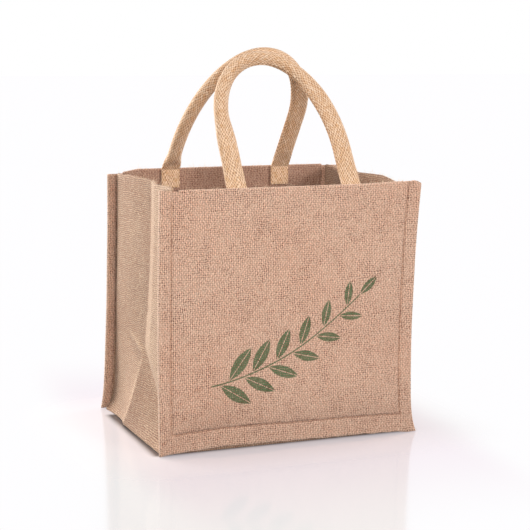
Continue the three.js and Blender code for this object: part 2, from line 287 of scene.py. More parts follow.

# %% [markdown]
# ## Floor and light
# The bag stands on a white glossy table in a white room. The camera sees a plain white world, while the
# cloth is lit by five soft lamps and a dim sky: a key from the rear left, two lamps in front, one above and
# one on the right. Near the bag the table is a real diffuse surface, so that it keeps the shadow under the
# base, and further out it is plain white. Where the bag touches the table a painted contact shadow darkens
# it, and in front of the bag a pinkish tint is a painted reflection. A thin gloss gives the faint mirror
# image.

# %% World and lamps
SKY_LIGHT = 0.36
SKY_TINT = (1, 0.98, 0.96, 1)
LAMP_AIM = np.array([0, 0, 0.2])
LAMPS = {  # place, width and height, watts and colour
    "key": ((-1.0, 1.85, 0.45), (1.6, 0.5), 76, (1, 0.96, 0.9)),
    "front": ((0.95, -2.35, 0.75), (0.66, 0.4), 28, (1, 0.96, 0.95)),
    "fill": ((-0.85, -2.4, 0.7), (1.0, 0.4), 27, (1, 0.96, 0.94)),
    "top": ((-0.9, 0.3, 2.0), (1.2, 1.0), 17, (1, 0.98, 0.96)),
    "side": ((2.2, 0.7, 0.6), (0.8, 0.6), 36, (1, 0.97, 0.94)),
}
bpy.context.scene.view_settings.view_transform = "Standard"


def seen_directly(tree):
    """1 for rays that show the background itself: camera, glossy and transmission rays."""
    path = wires_of(tree, add_node(tree, "LightPath"))
    mirrored = path["Is Glossy Ray"].math("MAXIMUM", path["Is Transmission Ray"])
    return path["Is Camera Ray"].math("MAXIMUM", mirrored)


def build_world():
    """White for rays that show it, a dim sky for the light."""
    world = bpy.data.worlds.new("white_room")
    world.use_nodes = True
    tree = world.node_tree
    tree.nodes.clear()
    sky = wire_of(tree, "Background", {"Color": SKY_TINT, "Strength": SKY_LIGHT})
    white = wire_of(tree, "Background", {"Color": WHITE, "Strength": 1.0})
    both = wire_of(tree, "MixShader", {0: seen_directly(tree), 1: sky, 2: white})
    add_node(tree, "OutputWorld", {"Surface": both})
    return world


def add_lamp(name, at, size, watts, colour):
    """Area lamp of a width and a height whose -Z axis points from its place to the aim."""
    lamp = bpy.data.objects.new(name, bpy.data.lights.new(name, "AREA"))
    lamp.data.shape = "RECTANGLE"
    lamp.data.size, lamp.data.size_y = size
    lamp.data.energy = watts
    lamp.data.color = colour
    back = unit(np.array(at) - LAMP_AIM)
    side = unit(np.cross((0, 0, 1), back))
    lamp.matrix_world = matrix_of(side, np.cross(back, side), back, at)
    bpy.context.scene.collection.objects.link(lamp)


bpy.context.scene.world = build_world()
for name, lamp_setup in LAMPS.items():
    add_lamp(name, *lamp_setup)
print("lamps", list(LAMPS))

# %% Floor
FLOOR_RADIUS = 8.0
FOOT_MIDDLE = (0, -0.012, 0)
FOOT_HALF = (0.1375, 0.077, 0)
SHADOW_REACH = 0.11  # from the foot of the bag, over which the table turns plain white
SHADOW_WHITE = 0.5  # share of plain white at the foot
TOUCH_REACH = 0.011  # of the painted contact shadow where the bag touches the table
# colour of the painted contact shadow at the foot
TOUCH_SHADE = (0.1, 0.09, 0.09, 1)
TABLE_WHITE = (0.9, 0.87, 0.88, 1)
TABLE_BOUNCE = (0.12, 0.115, 0.115, 1)  # what the table sends back to the cloth
# pinkish colour of the painted reflection of the bag on the table
PAINTED_REFLECTION_TINT = (0.94, 0.855, 0.9, 1)
PAINTED_REFLECTION_REACH = (0.02, 0.3)  # of the painted pinkish reflection of the bag on the table in front of it
PAINTED_REFLECTION_SHRINK = (4.5, 1, 0)  # it reaches less far to the sides
GLOSS_TINT = (0.97, 0.94, 1, 1)
GLOSS_SHARE = 0.2
GLOSS_ROUGHNESS = 0.12


def build_floor_finish():
    """Near the bag a white diffuse surface with a painted contact shadow at the foot; away from it plain
    white, which turns pinkish in front of the bag as a painted reflection; a thin gloss over both. The
    distance from the foot is the length of what the offset has beyond the foot's half sizes."""
    material = bpy.data.materials.new("white_table")
    material.use_nodes = True
    tree = material.node_tree
    tree.nodes.clear()
    spot = vector_of("SUBTRACT", wire_of(tree, "TexCoord", output="Object"), FOOT_MIDDLE)
    beyond = vector_of("SUBTRACT", vector_of("ABSOLUTE", spot), FOOT_HALF)
    beyond = vector_of("MAXIMUM", beyond, (0, 0, 0))
    away = vector_of("LENGTH", beyond)
    far = vector_of("LENGTH", vector_of("MULTIPLY", beyond, PAINTED_REFLECTION_SHRINK))
    # touch is 0 at the foot, where the painted contact shadow darkens the diffuse colour
    touch = ramp(away, 0, TOUCH_REACH, kind="SMOOTHSTEP")
    plain = ramp(away, 0, SHADOW_REACH, SHADOW_WHITE, 1, kind="SMOOTHSTEP") * touch
    # in front of the bag the white turns pinkish: a painted reflection
    painted_reflection = mixed(ramp(far, *PAINTED_REFLECTION_REACH, kind="SMOOTHSTEP"), PAINTED_REFLECTION_TINT, WHITE)
    shaded = wire_of(tree, "BsdfDiffuse", {"Color": mixed(touch, TOUCH_SHADE, TABLE_WHITE)})
    bounce = wire_of(tree, "BsdfDiffuse", {"Color": TABLE_BOUNCE})
    white = wire_of(tree, "Emission", {"Color": painted_reflection, "Strength": 1.0})
    gloss = wire_of(tree, "BsdfGlossy", {"Color": GLOSS_TINT, "Roughness": GLOSS_ROUGHNESS})
    table = wire_of(tree, "MixShader", {0: plain, 1: shaded, 2: white})
    coated = wire_of(tree, "MixShader", {0: GLOSS_SHARE, 1: table, 2: gloss})
    both = wire_of(tree, "MixShader", {0: seen_directly(tree), 1: bounce, 2: coated})
    add_node(tree, "OutputMaterial", {"Surface": both})
    return material


floor_mesh = bpy.data.meshes.new("floor")
floor_corners = [(x * FLOOR_RADIUS, y * FLOOR_RADIUS, 0) for x, y in ((-1, -1), (1, -1), (1, 1), (-1, 1))]
floor_mesh.from_pydata(floor_corners, [], [(0, 1, 2, 3)])
floor = bpy.data.objects.new("floor", floor_mesh)
floor.data.materials.append(build_floor_finish())
bpy.context.scene.collection.objects.link(floor)
print("floor", 2 * FLOOR_RADIUS, "m wide")

# %% [markdown]
# ## Jute
# Jute cloth is a plain weave: every thread goes over one thread and under the next, and the threads are
# uneven, with thick slubs and small dark holes between them. An image would blur when you come close, so a
# node group works the weave out from the cloth's UV map, which holds metres along and across the threads.
# The group gives the height of the surface, a mask of the holes, a tone for each thread, a random speck for
# each crossing, which set of threads lies on top, and the furrows between the level threads.

# %% Weave group
THREAD_DRIFTS = ((0.16, 2.2), (0.8, 0.6))  # clouds to the thread, and how many threads they shift the weave
THREAD_SETS = (("upright", 0.42, 3.7), ("level", -0.42, 14.7))  # swing of the height, and seed of the tone
THREAD_SPREAD = 7.31  # keeps the tones of two neighbours apart
SLUB_STRETCH = 0.09
THREAD_WIDTH = (0.38, 0.5)  # share of the pitch for the thinnest tone, and how much the tone adds
MIDDLE_HEIGHT = 0.58
HOLE_COVER = (0.15, 0.95)  # cover of the threads at which a hole is open or shut
HOLE_POWER = 0.75


def build_weave_group():
    """Thread numbers are the whole parts of the UV over the pitch. A thread's profile is a half circle
    across it; its height swings as a cosine along it, up on even crossings and down on odd ones. White noise
    on the whole parts gives every crossing its own tone and every hole its own depth."""
    group, given = new_group(
        "jute_weave", {"Surface": "Vector", "Pitch": "Vector"},
        ("Height", "Gap", "Tone", "Speck", "Upper", "Furrow"))
    even = vector_of("DIVIDE", given["Surface"], given["Pitch"])
    uneven = even
    for scale, size in THREAD_DRIFTS:
        drift = vector_of("SUBTRACT", noise_on(even, scale, 3.0, "Color"), (0.5, 0.5, 0.5))
        uneven = vector_of("ADD", uneven, vector_of("MULTIPLY", drift, (size, size, size)))
    x, y = parts_of(uneven)
    heights, tones, covers = [], [], []
    for name, swing, seed in THREAD_SETS:
        across, along = (x, y) if name == "upright" else (y, x)
        thread = across.math("FLOOR")
        stretched = {0: thread * THREAD_SPREAD, 1: along * SLUB_STRETCH, 2: seed}
        tone = noise_on(wire_of(group, "CombineXYZ", stretched), 1.0)
        width = tone * THREAD_WIDTH[1] + THREAD_WIDTH[0]
        share = (across.math("FRACT") - 0.5) * 2 / width
        cover = (1 - share * share).math("MAXIMUM", 0).math("SQRT")
        turn = (along - 0.5 + thread) * np.pi
        heights.append(cover * (turn.math("COSINE") * swing + MIDDLE_HEIGHT))
        tones.append(tone)
        covers.append(cover)
    upper = heights[1].math("GREATER_THAN", heights[0])
    specks = []
    for shift in (0, 0.5):
        cell = vector_of("FLOOR", vector_of("ADD", uneven, (shift, shift, shift)))
        cell = vector_of("MULTIPLY", cell, (1, 1, 0))
        specks.append(wire_of(group, "TexWhiteNoise", {"Vector": cell}, "Value", noise_dimensions="3D"))
    opened = ramp(covers[0].math("MAXIMUM", covers[1]), *HOLE_COVER, 1, 0)
    return close_group(group, {
        "Height": heights[0].math("MAXIMUM", heights[1]),
        "Gap": opened * specks[1].math("POWER", HOLE_POWER),
        "Tone": tones[0] + upper * (tones[1] - tones[0]),
        "Speck": specks[0], "Upper": upper, "Furrow": 1 - covers[1]})


weave_group = build_weave_group()

# %% Jute finish
THREAD_PITCH = (1.82 * MM, 2.05 * MM, 1)  # between upright threads and between level ones
TONE_WEIGHTS = {"Tone": 0.25, "Speck": 0.3, "patch": 0.5}
PATCHES = 9.0  # clouds to the metre
TONE_MIDDLE = 0.52  # of the sum of these tones; slubs add half their weight
TONE_SPREAD = 0.42  # of the sum on both sides of its middle, from pale to deep
LOW_THREAD = (0.25, 0.95)  # heights between which painted shade darkens the low threads
LOOSE_PATCHES = 45.0  # of looser and tighter weave, to the metre
LOOSE_NOISE = (0.35, 0.65)  # of a tight and of a loose patch
LOOSE_HOLES = (0.6, 1.3)  # weight of the holes in them
JUTE_BUMP = {"Strength": 0.6, "Distance": 0.5 * MM}
JUTE_SURFACE = {"Roughness": 0.92, "Specular IOR Level": 0.25, "Sheen Weight": 0.12, "Sheen Roughness": 0.6}


def start_material(name):
    """Material with one Principled shader, and the wire of its UV map in metres."""
    material = bpy.data.materials.new(name)
    material.use_nodes = True
    return material, wire_of(material.node_tree, "TexCoord", output="UV")


def finish_material(material, colour, height, bump, surface):
    """Links colour and bump to the Principled shader and sets its other sockets to constants."""
    tree = material.node_tree
    shader = tree.nodes["Principled BSDF"]
    relief = add_node(tree, "Bump", {**bump, "Height": height})
    tree.links.new(colour.socket, shader.inputs["Base Color"])
    tree.links.new(relief.outputs[0], shader.inputs["Normal"])
    for name, value in surface.items():
        shader.inputs[name].default_value = value
    return material


def jute_finish(name, pale, deep, hole, ink=None, grain=(420, 420, 0), relief=0.28, slub=0.6,
                checker=0.25, furrow=0.08):
    """Jute: each thread's tone picks a colour between pale and deep, holes take the colour of painted
    shade, height makes the bump. grain gives the slubs per metre across and along, slub their weight, relief
    how much painted shade darkens the low threads. Level threads get painted shade, darker than upright ones
    by the share checker, and the furrows between them by the share furrow. The mesh's shade attribute
    darkens the cloth with painted shade, or makes it paler with painted highlight and wear where it is
    negative. ink is a function that adds a print to the colour."""
    material, cloth = start_material(name)
    weave = use_group(cloth.tree, weave_group, {"Surface": cloth, "Pitch": THREAD_PITCH})
    slubs = noise_on(vector_of("MULTIPLY", cloth, grain), 1.0, 1.0)
    blotch = noise_on(cloth, PATCHES, 3.0) * TONE_WEIGHTS["patch"] + slubs * slub
    blotch = blotch + weave["Tone"] * TONE_WEIGHTS["Tone"] + weave["Speck"] * TONE_WEIGHTS["Speck"]
    middle = TONE_MIDDLE + slub / 2
    threads = mixed(ramp(blotch, middle - TONE_SPREAD, middle + TONE_SPREAD), pale, deep)
    # dim is painted shade: on the low threads, on the level threads and in the furrows
    dim = ramp(weave["Height"], *LOW_THREAD, relief, 0) + weave["Upper"] * checker + weave["Furrow"] * furrow
    colour = mixed(dim, threads, hole)
    if ink:
        colour = ink(cloth, colour, weave["Height"])
    # The shade attribute holds painted shade, which darkens towards the hole colour, and painted highlight
    # and wear, which turn it pale where it is negative.
    shade = wire_of(cloth.tree, "Attribute", output="Fac", attribute_name="shade")
    colour = mixed(shade, colour, hole)
    colour = mixed(shade * -1, colour, pale)
    # Holes are painted with the dark colour of the shade seen through them.
    loose = ramp(noise_on(cloth, LOOSE_PATCHES), *LOOSE_NOISE, *LOOSE_HOLES)
    colour = mixed(weave["Gap"] * loose, colour, hole)
    return finish_material(material, colour, weave["Height"], JUTE_BUMP, JUTE_SURFACE)


print("jute threads every", THREAD_PITCH[:2], "m")

# %% [markdown]
# ## Print
# The front carries one print in green ink. Ink lies on the threads and not in the holes, so the print is a
# mask in the panel's own material and not a layer above it. A small node group draws one leaf, two curves
# that meet in points with a bare rib between them, and the sprig uses it again and again.

# %% Leaf group
INK_EDGE = 0.5 * MM
RIB_WIDTH = 0.5 * MM


def build_leaf_group():
    """In the leaf's own axes the half width is a parabola along it, and a thin rib stays bare."""
    sockets = {"Surface": "Vector", "Middle": "Vector", "Turn": "Float", "Length": "Float", "Width": "Float"}
    group, given = new_group("leaf_print", sockets, ("Mask",))
    moved = vector_of("SUBTRACT", given["Surface"], given["Middle"])
    turned = wire_of(
        group, "VectorRotate", {"Vector": moved, "Angle": given["Turn"] * -1}, rotation_type="Z_AXIS")
    along, across = parts_of(turned)
    share = along * 2 / given["Length"]
    half = (1 - share * share) * (given["Width"] * 0.5)
    side = across.math("ABSOLUTE")
    inside = ramp(half - side, 0, INK_EDGE)
    return close_group(group, {"Mask": inside * ramp(side, RIB_WIDTH / 2, RIB_WIDTH)})


leaf_group = build_leaf_group()

# %% Sprig
STEM_START = np.array([-88, 66]) * MM
STEM_END = np.array([70, 148]) * MM
STEM_RUN = STEM_END - STEM_START
STEM_SAG = 16 * MM
STEM_WIDTH = 1.3 * MM
STEM_EDGE = (0.4, 0.8)  # shares of the width between which the ink fades
SHORT_STEP = 0.01  # share of the stem, for its direction
LEAF_PAIRS = 6
LEAF_LENGTH = 40 * MM
LEAF_WIDTH = 14 * MM
LEAF_TURN = np.radians(42)
LEAF_STALK = 1.5 * MM
FIRST_PAIR = 0.08  # share of the stem
PAIR_SPAN = 0.8
PAIR_OFFSET = 0.03  # between the two leaves of a pair and their middle
PAIR_SHRINK = 0.35  # from the first pair to the last
TIP_LEAF = 0.65  # size of the leaf at the tip
TIP_REACH = 0.32 * LEAF_LENGTH  # from the tip to its middle


def stem_point(share):
    """Point on the stem: a straight line that sags as a parabola."""
    return STEM_START + STEM_RUN * share - np.array([0, STEM_SAG * 4 * share * (1 - share)])


def stem_angle(share):
    """Direction of the stem: the angle of a short step along it."""
    step = stem_point(share + SHORT_STEP) - stem_point(share - SHORT_STEP)
    return np.arctan2(step[1], step[0])


def leaf_at(foot, turn, reach, size):
    """Group inputs of one leaf whose middle lies a reach away from its foot."""
    middle = foot + reach * np.array([np.cos(turn), np.sin(turn)])
    return {"Middle": (*middle, 0), "Turn": turn, "Length": LEAF_LENGTH * size, "Width": LEAF_WIDTH * size}


def sprig_leaves():
    """Pairs of leaves that shrink along the stem, and one at its tip."""
    leaves = []
    for number in range(LEAF_PAIRS):
        share = number / (LEAF_PAIRS - 1)
        size = 1 - PAIR_SHRINK * share
        for side in (-1, 1):
            at = FIRST_PAIR + PAIR_SPAN * share + PAIR_OFFSET * side
            turn = stem_angle(at) + side * LEAF_TURN
            leaves.append(leaf_at(stem_point(at), turn, LEAF_LENGTH * size / 2 + LEAF_STALK, size))
    leaves.append(leaf_at(STEM_END, stem_angle(1.0), TIP_REACH, TIP_LEAF))
    return leaves


print("leaves on the sprig:", len(sprig_leaves()))

# %% Ink
INK_GREEN = srgb(58, 101, 62)
INK_HEIGHTS = (0.2, 0.6)  # of the weave, in the valleys and on the threads
INK_WEAR = (0.45, 0.95)  # weight of the ink there


def stem_mask(cloth):
    """The stem is where the cloth's height differs from the sagging line by less than half its width."""
    across, up = parts_of(cloth)
    share = (across - STEM_START[0]) / STEM_RUN[0]
    bow = share * (1 - share)
    middle = share * STEM_RUN[1] + STEM_START[1] - bow * (4 * STEM_SAG)
    away = (up - middle).math("ABSOLUTE")
    full, bare = (part * STEM_WIDTH for part in STEM_EDGE)
    return ramp(away, full, bare, 1, 0) * bow.math("GREATER_THAN", 0)


def sprig_ink(cloth, colour, height):
    """Lays the sprig's ink over a colour, thinner in the valleys between the threads."""
    mask = stem_mask(cloth)
    for leaf in sprig_leaves():
        mask = mask.math("MAXIMUM", use_group(cloth.tree, leaf_group, {"Surface": cloth, **leaf})["Mask"])
    return mixed(mask * ramp(height, *INK_HEIGHTS, *INK_WEAR), colour, INK_GREEN)


print("ink is", [round(part, 3) for part in INK_GREEN[:3]])

# %% Jute materials
PALE, DEEP = srgb(255, 224, 199), srgb(240, 189, 160)
# HOLE is painted shade: the dark seen through the holes and in the low threads.
HOLE = srgb(88, 44, 26)
printed_jute = jute_finish("printed_jute", PALE, DEEP, HOLE, sprig_ink)
panel_jute = jute_finish("panel_jute", PALE, DEEP, HOLE)
gusset_jute = jute_finish(
    "gusset_jute", srgb(255, 228, 196), srgb(206, 156, 122), HOLE,
    grain=(300, 620, 0), relief=0.5, slub=1.3, checker=0.25, furrow=0.18)
divider_jute = jute_finish("divider_jute", srgb(220, 178, 150), srgb(190, 142, 114), HOLE)
print("jute finishes made")

# %% [markdown]
# ## Webbing
# The handles are cotton webbing with a braided face: its strands cross at a slant to the length. That is the
# same weave in slanted axes, so the jute's node group is used again. Two dot products turn the UV map into
# metres across each set of strands.

# %% Webbing finish
STRAND_PITCH = (2.4 * MM, 2.4 * MM, 1)
STRAND_SLANT = np.radians(30)  # from the length of the tape
STRAND_SPECK = 0.4
STRAND_TONES = (0.4, 1.0)  # sums of tones that are pale and deep
STRAND_HEIGHTS = (0.1, 0.9)  # of the braid, from dark to light
STRAND_GROOVE = 0.58  # how dark painted shade makes the lowest strands
STRAND_HOLES = 0.8
WEBBING_BUMP = {"Strength": 0.6, "Distance": 0.4 * MM}
WEBBING_SURFACE = {"Roughness": 0.85, "Specular IOR Level": 0.3, "Sheen Weight": 0.15}


def webbing_finish(name, pale, deep, groove):
    """Slanted axes: across the tape times the cosine, plus and minus the length times the sine."""
    material, tape = start_material(name)
    cosine, sine = np.cos(STRAND_SLANT), np.sin(STRAND_SLANT)
    axes = [vector_of("DOT_PRODUCT", tape, (side * cosine, sine, 0)) for side in (1, -1)]
    slanted = wire_of(tape.tree, "CombineXYZ", dict(enumerate(axes)))
    braid = use_group(tape.tree, weave_group, {"Surface": slanted, "Pitch": STRAND_PITCH})
    colour = mixed(ramp(braid["Tone"] + braid["Speck"] * STRAND_SPECK, *STRAND_TONES), pale, deep)
    # The groove colour is painted shade: on the low strands and in the holes of the braid.
    colour = mixed(ramp(braid["Height"], *STRAND_HEIGHTS, STRAND_GROOVE, 0), colour, groove)
    colour = mixed(braid["Gap"] * STRAND_HOLES, colour, groove)
    return finish_material(material, colour, braid["Height"], WEBBING_BUMP, WEBBING_SURFACE)


handle_webbing = webbing_finish(
    "handle_webbing", srgb(250, 224, 195), srgb(222, 180, 138), srgb(150, 100, 62))
print("webbing strands every", STRAND_PITCH[0], "m")

# %% [markdown]
# ## From a grid to a piece
# Cloth is thin, so each piece is one grid of points, made a mesh by joining every cell's four corners.
# The UV map holds the metres walked along the middle of the grid in both directions, which keeps the weave
# at its real size on every fold. A Solidify modifier then gives the cloth its thickness behind the face.

# %% Grid helper
def walked(points):
    """Metres walked along a line of points, starting at 0: the running sum of the steps' lengths."""
    steps = np.linalg.norm(np.diff(points, axis=0), axis=1)
    return np.concatenate([[0], np.cumsum(steps)])


def grid_mesh(name, points, uv, keep=None, shade=None):
    """Mesh of a grid [rows, columns, 3]; a face looks along columns cross rows. keep marks the cells used,
    shade is how dark each point is, or how pale where it is negative."""
    rows, columns = points.shape[:2]
    number = np.arange(rows * columns).reshape(rows, columns)
    cells = np.stack([number[:-1, :-1], number[:-1, 1:], number[1:, 1:], number[1:, :-1]], axis=-1)
    cells = cells[keep] if keep is not None else cells.reshape(-1, 4)
    used, corners = np.unique(cells, return_inverse=True)
    mesh = bpy.data.meshes.new(name)
    mesh.from_pydata(points.reshape(-1, 3)[used].tolist(), [], corners.reshape(-1, 4).tolist())
    layer = mesh.uv_layers.new(name="UVMap")
    layer.data.foreach_set("uv", uv.reshape(-1, 2)[used][corners.ravel()].ravel())
    if shade is not None:
        mesh.attributes.new("shade", "FLOAT", "POINT").data.foreach_set("value", shade.ravel()[used])
    mesh.shade_smooth()
    return mesh


def walked_uv(points):
    """UV in metres from the middle row and the middle column."""
    rows, columns = points.shape[:2]
    across = walked(points[rows // 2])
    along = walked(points[:, columns // 2])
    return np.stack(np.meshgrid(across, along), axis=-1)


def add_piece(name, mesh, material):
    """Object of a mesh and a material."""
    piece = bpy.data.objects.new(name, mesh)
    bpy.context.scene.collection.objects.link(piece)
    piece.data.materials.append(material)
    print(name, len(mesh.vertices), "points")
    return piece


def add_cloth(name, node, material, grid):
    """Sheet of cloth on the bag's body in place of a CAD node, thickened away from its face."""
    piece = add_piece(name, grid_mesh(name, *grid), material)
    wall = piece.modifiers.new("thickness", "SOLIDIFY")
    wall.thickness = CLOTH
    wall.offset = -1
    wall.use_even_offset = True
    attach(piece, "bag")
    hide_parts(node)


print("cloth is", CLOTH, "m thick")

# %% [markdown]
# ## Panels
# Each panel is cut from one piece of jute. Its top is turned in as a hem, its other three edges are sewn to
# the strip and stick out as flat fins. The seam pulls a narrow groove, and the field swells a little above
# it because the bag is full of cells. The height of the surface is therefore a function of the distance
# from the seam, and one formula gives the swelling, the groove and the fins.

# %% Panel surface
PUFF = 4.0 * MM  # swelling of the field
PUFF_REACH = 13 * MM
RIM_PUFF = 0.35  # share of it that is left at the rim
PUFF_FADE = 0.45 * RIM  # height from which it lessens
GROOVE = 1.5 * MM
GROOVE_WIDTH = 1.2 * MM
GROOVE_END = (14 * MM, 5 * MM)  # distances below the rim over which it fades
CELL_PITCH = 84 * MM
CELL_SWELL = 0.7 * MM
UNEVEN = 0.5 * MM
RIPPLES = ((0.3, 0.13), (1.4, 0.09), (2.3, 0.065), (4.0, 0.16))  # direction in radians, length in metres


def ripple(x, y, phase):
    """Mean of four slow sine waves at odd angles: a gentle unevenness between -1 and 1."""
    waves = [
        np.sin(2 * np.pi * (x * np.cos(turn) + y * np.sin(turn)) / length + phase * (1 + turn))
        for turn, length in RIPPLES]
    return sum(waves) / len(waves)


def seam_distance(row, x, height):
    """Distance from the U-shaped seam, positive in the field and negative in the fins."""
    left = x - fin_edge(row, -1, height) - fin_width(row, -1)
    right = fin_edge(row, 1, height) - fin_width(row, 1) - x
    across = np.minimum(left, right)
    up = height - BASE_FIN
    outside = -np.hypot(np.minimum(across, 0), np.minimum(up, 0))
    return np.where(np.minimum(across, up) > 0, np.minimum(across, up), outside)


def panel_outward(row, x, height):
    """Distance of a panel's outer face from the middle of the bag: the CAD face, a wave, a swelling that
    nears its full height exponentially, and less a bell curve for the groove."""
    inside = seam_distance(row, x, height)
    full = 1 - (1 - RIM_PUFF) * rise(height, PUFF_FADE, RIM)
    swell = (1 - np.exp(-np.maximum(inside, 0) / PUFF_REACH)) * full
    cells = CELL_SWELL * np.cos(2 * np.pi * x / CELL_PITCH) + UNEVEN * ripple(x, height, SIDE_OF[row])
    fade = 1 - rise(height, RIM - GROOVE_END[0], RIM - GROOVE_END[1])
    wave = UNEVEN * ripple(x, height, 2.0 * SIDE_OF[row])
    return FACE + wave + swell * (PUFF + cells) - GROOVE * bell(inside, GROOVE_WIDTH) * fade


print("field swells by", PUFF, "m")

# %% Panel edges
LIFT = {"front": 3.0 * MM, "rear": 1.5 * MM}  # of the lower edge in the middle
LIFT_MIDDLE, LIFT_HALF = -6 * MM, 136 * MM
LIFT_END = 110 * MM  # height at which it has died away
LEFT_LIFT = 1.6 * MM  # more of it left of the middle, in front
LEFT_LIFT_AT, LEFT_LIFT_WIDTH = -60 * MM, 52 * MM
LOW_WAVE = 0.8 * MM  # of the lower edge
LOW_WAVE_LENGTHS = (47 * MM, 19 * MM)
LOW_WAVE_END = 60 * MM
RIM_RAISE = {"front": 0.6 * MM, "rear": 0}
RIM_START = 0.7 * RIM  # height from which the rim's steps grow
RIM_CORNERS = {  # how high the rim steps, on which side, from where and to where, in millimetres
    "front": ((1.5, -1, 127, 137), (1.5, 1, 116.5, 120), (1.2, 1, 60, 120), (-3.0, 1, 133, 139.5)),
    "rear": ((-3.0, -1, 95, 120),)}
FOLD_RADIUS = 2.4 * MM  # of the fin's edge, folded round the strip's flange
FOLD_SQUARE = {"front": 0.6, "rear": 1.0}  # 1 is round, less is squarer
FOLD_BACK = 7 * MM
FOLD_STEPS, BACK_STEPS = 15, 3  # points round the fold and behind it
HEM = 25 * MM
HEM_RADIUS = CLOTH + LAYER_GAP / 2
HEM_SETBACK = 5 * MM
HEM_TURN_STEPS, HEM_DOWN_STEPS = 9, 12  # points over the rim and down inside


def panel_lift(row, x, height):
    """How far a point lies above its even height: the lower edge arches up as a fourth power and waves as
    two sines, the rim rises or drops in smooth steps."""
    arch = LIFT[row] * np.clip(1 - ((x - LIFT_MIDDLE) / LIFT_HALF) ** 4, 0, 1)
    if row == "front":
        arch = arch + LEFT_LIFT * bell(x - LEFT_LIFT_AT, LEFT_LIFT_WIDTH)
    long_wave, short_wave = (2 * np.pi * x / length for length in LOW_WAVE_LENGTHS)
    wave = LOW_WAVE * (2 + np.sin(long_wave + SIDE_OF[row]) + np.sin(short_wave)) / 4
    low = arch * (1 - rise(height, BASE_FIN, LIFT_END)) + wave * (1 - rise(height, 0, LOW_WAVE_END))
    corners = RIM_RAISE[row] + steps_of(RIM_CORNERS[row], x)
    return low + corners * rise(height, RIM_START, RIM)


def folded_edge(row):
    """Columns past a fin's edge, outwards in: a half circle, made squarer by a power of its sine and cosine,
    and a strip that goes back behind the fin.
    Gives the distance in from the edge, the depth behind the face and the metres walked past the edge."""
    turn = np.linspace(0, np.pi, FOLD_STEPS)[1:]
    back = np.linspace(0, FOLD_BACK, BACK_STEPS)[1:]
    out = np.clip(np.sin(turn), 0, 1) ** FOLD_SQUARE[row]
    deep = 1 - np.sign(np.cos(turn)) * np.abs(np.cos(turn)) ** FOLD_SQUARE[row]
    inset = np.concatenate([FOLD_RADIUS * (1 - out), FOLD_RADIUS + back])
    behind = np.concatenate([FOLD_RADIUS * deep, 0 * back + 2 * FOLD_RADIUS])
    start = np.array([[FOLD_RADIUS, 0]])
    past = walked(np.concatenate([start, np.stack([inset, behind], axis=1)]))[1:]
    return inset, behind, past - FOLD_RADIUS


def hem_rows():
    """Rows past a rim, as height above it and way inwards: a half circle, then straight down inside."""
    turn = np.linspace(0, np.pi, HEM_TURN_STEPS)[1:]
    down = np.linspace(0, HEM - HEM_RADIUS, HEM_DOWN_STEPS)[1:]
    up = np.concatenate([HEM_RADIUS * np.sin(turn), -down])
    return up, np.concatenate([HEM_RADIUS * (1 - np.cos(turn)), 0 * down + 2 * HEM_RADIUS])


print("hem is", HEM, "m deep")

# %% Panel shade
# These marks are painted light in the shade attribute: painted shade in the groove, towards the floor and
# inside the hems, and painted highlight with some wear on the fins' edges and the rim.
SEAM_SHADE = 0.6  # how dark the painted shade in the groove is
SEAM_SHADE_WIDTH = 0.7 * MM
LEFT_SEAM_PALER = 0.6  # share of it that the left seam loses, where the groove is more lit
LEFT_SEAM_FROM = (120 * MM, 125 * MM)  # distance left of the middle
FOOT_SHADE = 0.13  # how much painted shade darkens the cloth at the floor
FOOT_SHADE_REACH = 75 * MM
INSIDE_SHADE = {"panel": 0.42, "strip": 0.22}  # and the painted shade on the inside of the hems
EDGE_HIGHLIGHT_AND_WEAR = 0.5  # how much paler the edge of a fin is: painted highlight and rubbed wear
EDGE_HIGHLIGHT_AND_WEAR_WIDTH = 0.9 * MM
# the rim's fold is paler too: painted highlight and rubbed wear
RIM_HIGHLIGHT_AND_WEAR = 0.3
BACK_SHADE = 0.1  # painted shade on the strip folded behind the left rear fin, darker towards the seam


def panel_shade(row, x, level, over, inward):
    """Painted shade: dark in the groove as a bell curve, towards the floor and inside the hem. Painted
    highlight
    with wear: pale on edges and rim.
    """
    seam = SEAM_SHADE * bell(seam_distance(row, x, level), SEAM_SHADE_WIDTH) * (inward < HEM_RADIUS)
    seam = seam * (1 - LEFT_SEAM_PALER * rise(-x, *LEFT_SEAM_FROM))
    # painted shade towards the floor
    foot = FOOT_SHADE * (1 - rise(level, 0, FOOT_SHADE_REACH))
    edge = np.minimum(x - fin_edge(row, -1, level), fin_edge(row, 1, level) - x)
    edge = np.minimum(edge, level - FIN_LIFT + EDGE_HIGHLIGHT_AND_WEAR_WIDTH / 2)
    # pale edges and rim: painted highlight and wear
    highlight_and_wear = EDGE_HIGHLIGHT_AND_WEAR * bell(edge, EDGE_HIGHLIGHT_AND_WEAR_WIDTH) + RIM_HIGHLIGHT_AND_WEAR * over / HEM_RADIUS
    return seam + foot + INSIDE_SHADE["panel"] * (inward > HEM_RADIUS) - highlight_and_wear


print("seam shade is", SEAM_SHADE)

# %% Panel grid
NEAR_SEAM = np.array([0, 0.6, 1.2, 1.9, 2.8, 4.2, 6.4]) * MM
GRID_PITCH = 2.1 * MM


def seam_to(length):
    """Stations from a seam over a length: close together at the seam, then even."""
    count = int((length - NEAR_SEAM[-1]) / GRID_PITCH)
    return np.concatenate([NEAR_SEAM, np.linspace(NEAR_SEAM[-1], length, count + 1)[1:]])


